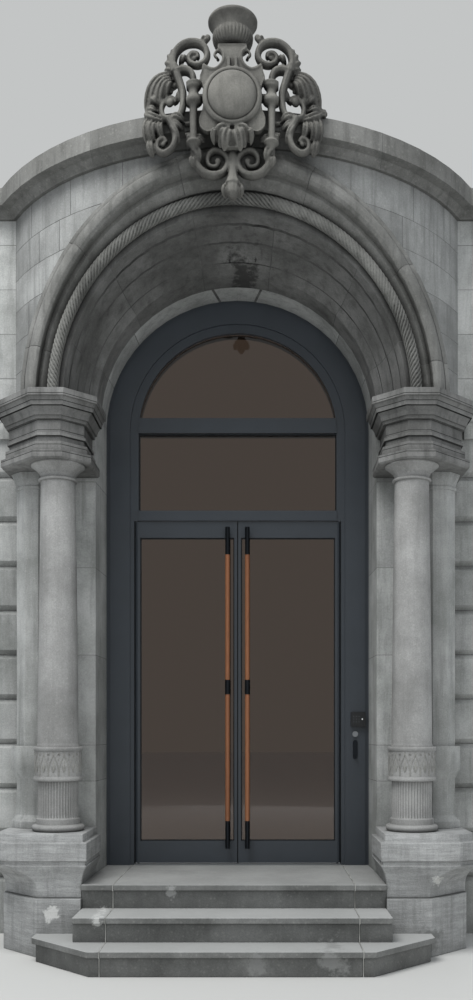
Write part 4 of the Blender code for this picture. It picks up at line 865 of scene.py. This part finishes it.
# Turned forms: radius and height, as shares of the form's own
torchShares = [(0.0, 0.0), (0.14, 0.01), (0.30, 0.045), (0.62, 0.09), (0.98, 0.12), (0.90, 0.145),
               (0.50, 0.17), (0.43, 0.20), (0.46, 0.40), (0.50, 0.66), (0.66, 0.675), (1.06, 0.70),
               (1.14, 0.735), (1.02, 0.775), (0.78, 0.80), (0.62, 0.84), (0.62, 0.89), (0.86, 0.92),
               (0.96, 0.935), (0.96, 0.955), (0.84, 0.962), (1.04, 0.972), (1.06, 1.0), (0.80, 1.0),
               (0.62, 0.985), (0.0, 0.98)]
dropShares = [(0.0, 0.0), (0.35, 0.03), (0.75, 0.12), (0.80, 0.27), (0.62, 0.285), (0.95, 0.295),
              (0.92, 0.33), (0.70, 0.40), (0.56, 0.50), (0.46, 0.62), (0.44, 1.0), (0.0, 1.0)]
urnShares = [(0.0, 0.0), (0.36, 0.0), (0.38, 0.03), (0.36, 0.06), (0.42, 0.09), (0.55, 0.13), (0.66, 0.18),
             (0.745, 0.25), (0.80, 0.33), (0.83, 0.42), (0.835, 0.50), (0.81, 0.57), (0.765, 0.61),
             (0.755, 0.64), (0.77, 0.69), (0.81, 0.76), (0.875, 0.83), (0.94, 0.88), (1.0, 0.91),
             (1.005, 0.975), (0.985, 1.0), (0.93, 1.0), (0.88, 0.975), (0.72, 0.86), (0.60, 0.80),
             (0.0, 0.78)]
# Moulding round the boss, in metres from its middle and from the shield's face
bossRing = [(0.148, 0.0), (0.148, 0.010), (0.157, 0.024), (0.170, 0.026), (0.186, 0.012), (0.190, 0.0),
            (0.148, 0.0)]


def frontOf(depth):
    return plan["bowCentre"] - plan["bowRadius"] - plan["stringProjection"] - depth


def spot(share, side):
    return Vector((side * cartouche["half"] * share[0], cartouche["bossZ"] + cartouche["half"] * share[1]))


def smoothLine(points, cuts):
    ends = [points[0]] + points + [points[-1]]
    line = []
    for i in range(1, len(ends) - 2):
        a, b, c, d = (Vector(point) for point in ends[i - 1:i + 3])
        for k in range(cuts):
            t = k / cuts
            line.append((b * 2.0 + (c - a) * t + (a * 2.0 - b * 5.0 + c * 4.0 - d) * t ** 2
                         + (b * 3.0 - a - c * 3.0 + d) * t ** 3) / 2.0)
    line.append(Vector(points[-1]))
    return line


def bend(verts):
    for vert in verts:
        vert.co.y += bowDrop(vert.co.x, plan["bowRadius"] + plan["stringProjection"])


def scaled(shares, radius, tall):
    return [(radius * r, tall * h) for r, h in shares]


def addStem(shape, shares, side, thick, thin, back=0.0):
    line = smoothLine([spot(share, side) for share in shares], 5)
    plane = frontOf(back)
    radii = [thick + (thin - thick) * i / (len(line) - 1) for i in range(len(line))]
    points = [(point.x, plane - 0.9 * radius, point.y) for point, radius in zip(line, radii)]
    made = addRod(shape, points, radii)
    for vert in made:
        vert.co.y = plane + (vert.co.y - plane) * cartouche["squash"]
    bend(made)


def addLobe(shape, lobe, side, back=0.0):
    base, middle, tip, half, rise = lobe
    ends = [spot(share, side) for share in (base, middle, tip)]
    half *= cartouche["half"]
    made = bmesh.ops.create_uvsphere(shape, u_segments=20, v_segments=14, radius=1.0)["verts"]
    for vert in made:
        t = (vert.co.z + 1.0) / 2.0
        first, second = ends[0].lerp(ends[1], t), ends[1].lerp(ends[2], t)
        place, along = first.lerp(second, t), (second - first).normalized()
        across = vert.co.x * half
        deep = back + rise * (0.4 + 0.6 * math.sin(math.pi * t)) - vert.co.y * rise * 0.75
        if vert.co.y < 0.0:      # a vein sunk along the front
            deep -= 0.42 * rise * math.exp(-(vert.co.x / 0.24) ** 2)
        vert.co = (place.x - along.y * across, frontOf(deep), place.y + along.x * across)
    bend(made)


def addBead(shape, bead, side, back=0.0):
    place, radius = spot(bead[0], side), bead[1]
    middle = Matrix.Translation((place.x, frontOf(back + 1.6 * radius), place.y))
    made = bmesh.ops.create_uvsphere(shape, u_segments=20, v_segments=12, radius=radius, matrix=middle)
    bend(made["verts"])


def pushed(shape, faces, deep):
    made = bmesh.ops.extrude_face_region(shape, geom=faces)["geom"]
    bmesh.ops.translate(shape, verts=[item for item in made if isinstance(item, bmesh.types.BMVert)],
                        vec=(0.0, deep, 0.0))


def addPlate(shape, outline, front, deep, lip=0.0):
    before = set(shape.verts)
    face = shape.faces.new([shape.verts.new((x, frontOf(front), z)) for x, z in outline])
    pushed(shape, [face], deep)
    if lip:
        outward(shape)
        bmesh.ops.inset_region(shape, faces=[face], thickness=lip, depth=-0.6 * lip, use_even_offset=True)
    return newVerts(shape, before)


# The rough forms become one stone: remeshed together, then rubbed down
def carve(shape):
    outward(shape)
    mesh = bpy.data.meshes.new("rough block")
    shape.to_mesh(mesh)
    shape.free()
    block = bpy.data.objects.new("rough block", mesh)
    bpy.context.scene.collection.objects.link(block)
    stone = block.modifiers.new("stone", "REMESH")
    stone.mode = "VOXEL"
    stone.voxel_size = cartouche["voxel"]
    soft = block.modifiers.new("soft", "SMOOTH")
    soft.factor = 0.5
    soft.iterations = 2
    whole = bmesh.new()
    whole.from_object(block, bpy.context.evaluated_depsgraph_get())
    bpy.data.objects.remove(block)
    bpy.data.meshes.remove(mesh)
    return whole


def mirroredOutline(shares):
    half = smoothLine([spot(share, 1.0) for share in shares], 3)
    return [(place.x, place.y) for place in half] + [(-place.x, place.y) for place in reversed(half)]


def makeShield():
    c = cartouche
    shape = bmesh.new()
    addPlate(shape, mirroredOutline(shieldShares), c["shieldFront"], c["shieldThick"], 13 * mm)
    addPlate(shape, mirroredOutline(coreShares), c["shieldFront"] - c["shieldThick"] / 2.0,
             c["shieldFront"] + c["shieldBack"] - c["shieldThick"])
    addTurn(shape, bossRing, (0.0, frontOf(c["shieldFront"] - 2 * mm), c["bossZ"] + c["bossDrop"]), "Y", 64)
    for x in (-24 * mm, 24 * mm):      # paired straps above and below the boss
        for low, high in ((0.14, 0.235), (-0.25, -0.15)):
            bmesh.ops.create_cube(shape, size=1.0, matrix=Matrix.Translation((
                x, frontOf(c["shieldFront"]), c["bossZ"] + (low + high) / 2.0))
                @ Matrix.Diagonal((20 * mm, 26 * mm, high - low, 1.0)))
    stems = [  # line, start and tip radius, depth
        (armLine, c["stem"], 21 * mm, 0.0), (linkLine, 22 * mm, 22 * mm, 0.0),
        (upperTie, c["tie"], c["tie"], 0.0), (lowerTie, c["tie"], c["tie"], 0.0),
        (curlLine, c["stem"], c["stemTip"], 0.0),
        (voluteLine, c["stem"], c["stemTip"], c["rollDepth"]), (crestLine, c["tie"], 8 * mm, 0.05)]
    torch = scaled(torchShares, c["torchRadius"], c["torchTall"])
    torchFoot = c["bossZ"] + c["torchTop"] - c["torchTall"]
    for side in (-1.0, 1.0):
        bend(addTurn(shape, torch, (side * c["torchX"], frontOf(c["torchRadius"]), torchFoot), "Z", 28))
        for shares, thick, thin, back in stems:
            addStem(shape, shares, side, thick, thin, back)
        for lobes, back in ((palmetteLobes, 0.03), (shieldLobes, 0.0), (dropLobes, c["rollDepth"])):
            for lobe in lobes:
                addLobe(shape, lobe, side, back)
        for bead in shieldBeads:
            addBead(shape, bead, side, c["rollDepth"] if bead[0][1] < -0.5 else 0.0)
    dropY = frontOf(c["rollDepth"] + c["dropRadius"])
    drop = scaled(dropShares, c["dropRadius"], c["dropTall"])
    for vert in addTurn(shape, drop, (0.0, dropY, c["bossZ"] + c["dropFoot"]), "Z", 40):
        flat = Vector((vert.co.x, vert.co.y - dropY, 0.0))
        if flat.length > 1 * mm:      # eight shallow flutes
            vert.co -= flat * 0.14 * (1.0 - abs(math.cos(4.0 * math.atan2(flat.y, flat.x))))
    whole = carve(shape)
    for way in (-1.0, 1.0):
        keepSide(whole, Vector((way * c["joint"], 0.0, 0.0)), Vector((-way, 0.0, 0.0)))
    addPiece("carved_shield", whole, "carvedStone", ["cartouche_shield"], sharp=60.0)


def addRosette(shape, share, radius=27 * mm):
    place = spot(share, 1.0)
    made = addTurn(shape, [(0.0, 0.0), (radius, 0.0), (radius, 26 * mm), (radius - 7 * mm, 34 * mm),
                           (9 * mm, 26 * mm), (8 * mm, 36 * mm), (0.0, 40 * mm)],
                   (place.x, frontOf(0.0), place.y), "Y", 36)
    for vert in made:
        flat = Vector((vert.co.x - place.x, 0.0, vert.co.z - place.y))
        if flat.length > 0.5 * radius:
            petal = abs(math.cos(cartouche["petals"] / 2.0 * math.atan2(flat.z, flat.x)))
            vert.co -= flat * 0.22 * (1.0 - petal)
    bend(made)


def makeScroll(word, side):
    c = cartouche
    shape = bmesh.new()
    bend(addPlate(shape, [spot(share, side) for share in sheetShares], 0.028, 0.10))
    for shares, thick, thin in (
            (stalkLine, c["stem"], c["stemTip"]), (curlLine, c["stem"], c["stemTip"]),
            (lowCurlLine, 24 * mm, c["stemTip"]), (armLine, c["stem"], 21 * mm),
            (upperTie, c["tie"], c["tie"]), (lowerTie, c["tie"], c["tie"]), (rimLine, 15 * mm, 10 * mm)):
        addStem(shape, shares, side, thick, thin)
    for lobe in scrollLobes:
        addLobe(shape, lobe, side)
    for bead in scrollBeads:
        addBead(shape, bead, side)
    if side > 0.0:
        addRosette(shape, (1.035, -0.046))
    whole = carve(shape)
    keepSide(whole, Vector((side * (c["joint"] + 0.5 * mm), 0.0, 0.0)), Vector((side, 0.0, 0.0)))
    addPiece(word + "_carved_scroll", whole, "carvedStone", [word + "_scrollwork"], sharp=60.0)


def makeBoss():
    c = cartouche
    rim, rings = 6 * mm, 16
    profile = [(0.0, 0.0), (c["bossRadius"] - 4 * mm, 0.0)]
    for i in range(rings):
        angle = quarterTurn * i / rings
        profile.append((c["bossRadius"] * math.cos(angle), rim + (c["bossDeep"] - rim) * math.sin(angle)))
    profile.append((0.0, c["bossDeep"]))
    shape = bmesh.new()
    addTurn(shape, profile, (0.0, frontOf(c["shieldFront"]), c["bossZ"] + c["bossDrop"]), "Y", 96)
    outward(shape)
    addPiece("carved_boss", shape, "carvedStone", ["cartouche_boss"], sharp=60.0)


def makeUrn():
    c = cartouche
    centre = (0.0, frontOf((c["shieldFront"] - c["shieldBack"]) / 2.0), c["bossZ"] + c["urnFoot"])
    profile = scaled(urnShares, c["urnRadius"], c["urnTall"])
    shape = bmesh.new()
    for vert in addTurn(shape, profile, centre, "Z", c["flutes"] * 6):
        flat = Vector((vert.co.x, vert.co.y - centre[1], 0.0))
        share = (vert.co.z - centre[2]) / c["urnTall"]
        if 0.10 < share < 0.62 and flat.length > 0.3 * c["urnRadius"]:
            hollow = abs(math.cos(c["flutes"] / 2.0 * math.atan2(flat.y, flat.x)))
            fade = math.sin(math.pi * (share - 0.08) / 0.56)
            vert.co -= flat.normalized() * 6 * mm * (1.0 - hollow) * fade
    outward(shape)
    addPiece("carved_urn", shape, "carvedStone", ["cartouche_urn"], sharp=60.0)


makeShield()
for word, side in wings:
    makeScroll(word, side)
makeBoss()
makeUrn()
print("cartouche carved")


# Door seals: a black rubber line round each pane and a brush in each door joint. The entry reader's
# rounded case, its printed keys and a white dot of painted highlight.
doors = {
    "sealWide": 7 * mm,
    "sealStand": 2.5 * mm,   # how far a seal stands before and behind the pane
    "clear": 0.3 * mm,
    "meetingDeep": 8 * mm,
    "heelGap": 6 * mm,
    "pivotY": 42.5 * mm,
    "brushDeep": 4 * mm,
    "readerRound": 9 * mm,
    "keyRadius": 2.2 * mm,
    "glintRadius": 5 * mm,
    "printDeep": 1 * mm,
}


def addPaneSeal(name, pane, body):
    d = doors
    low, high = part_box(pane)
    front, back = low.y - d["sealStand"], high.y + d["sealStand"]
    shape = bmesh.new()
    bmesh.ops.create_grid(shape, x_segments=1, y_segments=1, size=0.5, matrix=Matrix.Translation((
        (low.x + high.x) / 2.0, front, (low.z + high.z) / 2.0)) @ Matrix.Rotation(quarterTurn, 4, "X")
        @ Matrix.Diagonal((high.x - low.x, high.z - low.z, 1.0, 1.0)))
    middle = shape.faces[:]
    bmesh.ops.inset_region(shape, faces=middle, thickness=d["sealWide"], depth=0.0, use_even_offset=True,
                            use_boundary=True)
    bmesh.ops.delete(shape, geom=middle, context="FACES")
    pushed(shape, shape.faces[:], back - front)
    outward(shape)
    addPiece(name, shape, "rubber", body=body)


def bar(low, high):
    low, high = Vector(low), Vector(high)
    shape = bmesh.new()
    bmesh.ops.create_cube(shape, size=1.0, matrix=Matrix.Translation((low + high) / 2.0)
                          @ Matrix.Diagonal((*(high - low), 1.0)))
    outward(shape)
    return shape


def makeSeals():
    d = doors
    addPaneSeal("left_pane_seal", "left_leaf_glass", "left_leaf")
    addPaneSeal("right_pane_seal", "right_leaf_glass", "right_leaf")
    addPaneSeal("transom_seal", "transom_glass", "portal")
    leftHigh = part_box("left_leaf_frame")[1]
    low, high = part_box("right_leaf_frame")
    middle = (low.y + high.y) / 2.0
    brush = bar((leftHigh.x + d["clear"], middle - d["meetingDeep"], low.z),
                (low.x + 1 * mm, middle + d["meetingDeep"], high.z))
    addPiece("meeting_seal", brush, "rubber", body="right_leaf")
    for word, side in wings:
        low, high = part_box(word + "_leaf_frame")
        edge = high.x if side > 0.0 else low.x
        brush = bar((edge + side * d["clear"], d["pivotY"] - d["brushDeep"], low.z),
                    (edge + side * d["heelGap"], d["pivotY"] + d["brushDeep"], high.z))
        addPiece(word + "_heel_seal", brush, "rubber")


def makeReader():
    d = doors
    low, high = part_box("entry_reader")
    size = high - low
    shape = bar(low, high)
    corners = [edge for edge in shape.edges if abs(edge.verts[0].co.y - edge.verts[1].co.y) > 1 * mm]
    bmesh.ops.bevel(shape, geom=corners, offset=d["readerRound"], segments=6, profile=0.5, affect="EDGES",
                    material=-1)
    addPiece("reader_case", shape, "plastic", ["entry_reader"], rounding=1.5 * mm)
    keys = [(x, z) for x in (0.18, 0.36, 0.54) for z in (0.34, 0.52, 0.70)]
    # the keys are print; the white dot is a painted highlight
    for name, dots, radius, finish in (("reader_keys", keys, d["keyRadius"], "keys"),
                                       ("reader_glint", [(0.77, 0.52)], d["glintRadius"], "lens")):
        shape = bmesh.new()
        for x, z in dots:
            place = Matrix.Translation((low.x + size.x * x, low.y + 0.1 * mm, low.z + size.z * z))
            bmesh.ops.create_cone(shape, cap_ends=True, segments=20, radius1=radius, radius2=radius,
                                  depth=d["printDeep"], matrix=place @ Matrix.Rotation(quarterTurn, 4, "X"))
        addPiece(name, shape, finish)


makeSeals()
makeReader()
print("door seals and reader ready")


# Floor, backdrop, light and camera
studio = {
    "floorRadius": 70.0,
    "floorColour": "#c6c6c3",
    "farPaintedLight": "#fbfbfa",      # painted light: paler with distance, standing in for the lamp light that doesn't reach so far
    "farFrom": 3.5,
    "farTo": 11.0,
    "backdropColour": "#c3c5c5",
    "airColour": "#cdd2d8",
    "air": 0.8,
    "lens": 36.0,
    "shift": (-0.026, 0.233),
    "camera": (0.19, -7.62, 1.487),
}
lamps = {
    # name: (place, aim, size, power)
    "sky softbox": ((-2.5, -4.5, 11.0), (0.0, -0.7, 2.8), 6.0, 980.0),
    "street fill": ((2.0, -12.0, 3.0), (0.0, -0.5, 1.8), 9.0, 260.0),
    "back fill": ((2.5, 5.5, 8.0), (0.0, 0.5, 2.5), 4.0, 160.0),
}


# Plain studio paper: matt, with no grain that shows, drawn paler with distance as painted light.
def makeFloor():
    shape = bmesh.new()
    bmesh.ops.create_circle(shape, cap_ends=True, segments=128, radius=studio["floorRadius"])
    mesh = bpy.data.meshes.new("studio floor")
    shape.to_mesh(mesh)
    shape.free()
    floor = bpy.data.objects.new("studio_floor", mesh)
    bpy.context.scene.collection.objects.link(floor)
    material, tree = newMaterial("plain studio paper")
    away = addNode(tree, "TexCoord", {}, out="Object")
    away = addNode(tree, "VectorMath", {0: away}, {"operation": "LENGTH"}, "Value")
    away = addNode(tree, "MapRange", {
        "Value": away, "From Min": studio["farFrom"], "From Max": studio["farTo"]})
    colour = addNode(tree, "Mix", {
        0: away, 6: linear(studio["floorColour"]), 7: linear(studio["farPaintedLight"])}, rgba, 2)
    endFinish(tree, {"Base Color": colour, "Roughness": 0.95, "Specular IOR Level": 0.1})
    mesh.materials.append(material)


def makeLamps():
    for name, (place, aim, size, power) in lamps.items():
        lamp = bpy.data.lights.new(name, "AREA")
        lamp.shape = "DISK"
        lamp.size = size
        lamp.energy = power
        body = bpy.data.objects.new(name, lamp)
        body.location = place
        body.rotation_euler = (Vector(aim) - Vector(place)).to_track_quat("-Z", "Y").to_euler()
        body.visible_glossy = False      # the panes mirror the pale studio, not the lamps
        bpy.context.scene.collection.objects.link(body)


def makeWorld():
    world = bpy.data.worlds.new("pale studio")
    bpy.context.scene.world = world
    world.use_nodes = True
    tree = world.node_tree
    tree.nodes.clear()
    seen = 0.0
    for ray in ("Is Camera Ray", "Is Glossy Ray", "Is Transmission Ray"):
        hit = addNode(tree, "LightPath", {}, out=ray)
        seen = addNode(tree, "Math", {0: seen, 1: hit}, {"operation": "MAXIMUM"})
    soft = addNode(tree, "Background", {"Color": linear(studio["airColour"]), "Strength": studio["air"]})
    pale = addNode(tree, "Background", {"Color": linear(studio["backdropColour"])})
    addNode(tree, "OutputWorld", {"Surface": addNode(tree, "MixShader", {0: seen, 1: soft, 2: pale})})


def makeCamera():
    camera = bpy.data.cameras.new("street camera")
    camera.lens = studio["lens"]
    camera.sensor_width = 36.0
    camera.shift_x, camera.shift_y = studio["shift"]
    camera.clip_end = 200.0
    body = bpy.data.objects.new("street_camera", camera)
    body.location = studio["camera"]
    body.rotation_euler = (quarterTurn, 0.0, 0.0)
    bpy.context.scene.collection.objects.link(body)
    bpy.context.scene.camera = body


makeFloor()
makeLamps()
makeWorld()
makeCamera()
bpy.context.scene.view_settings.view_transform = "Standard"
print("studio and camera ready")
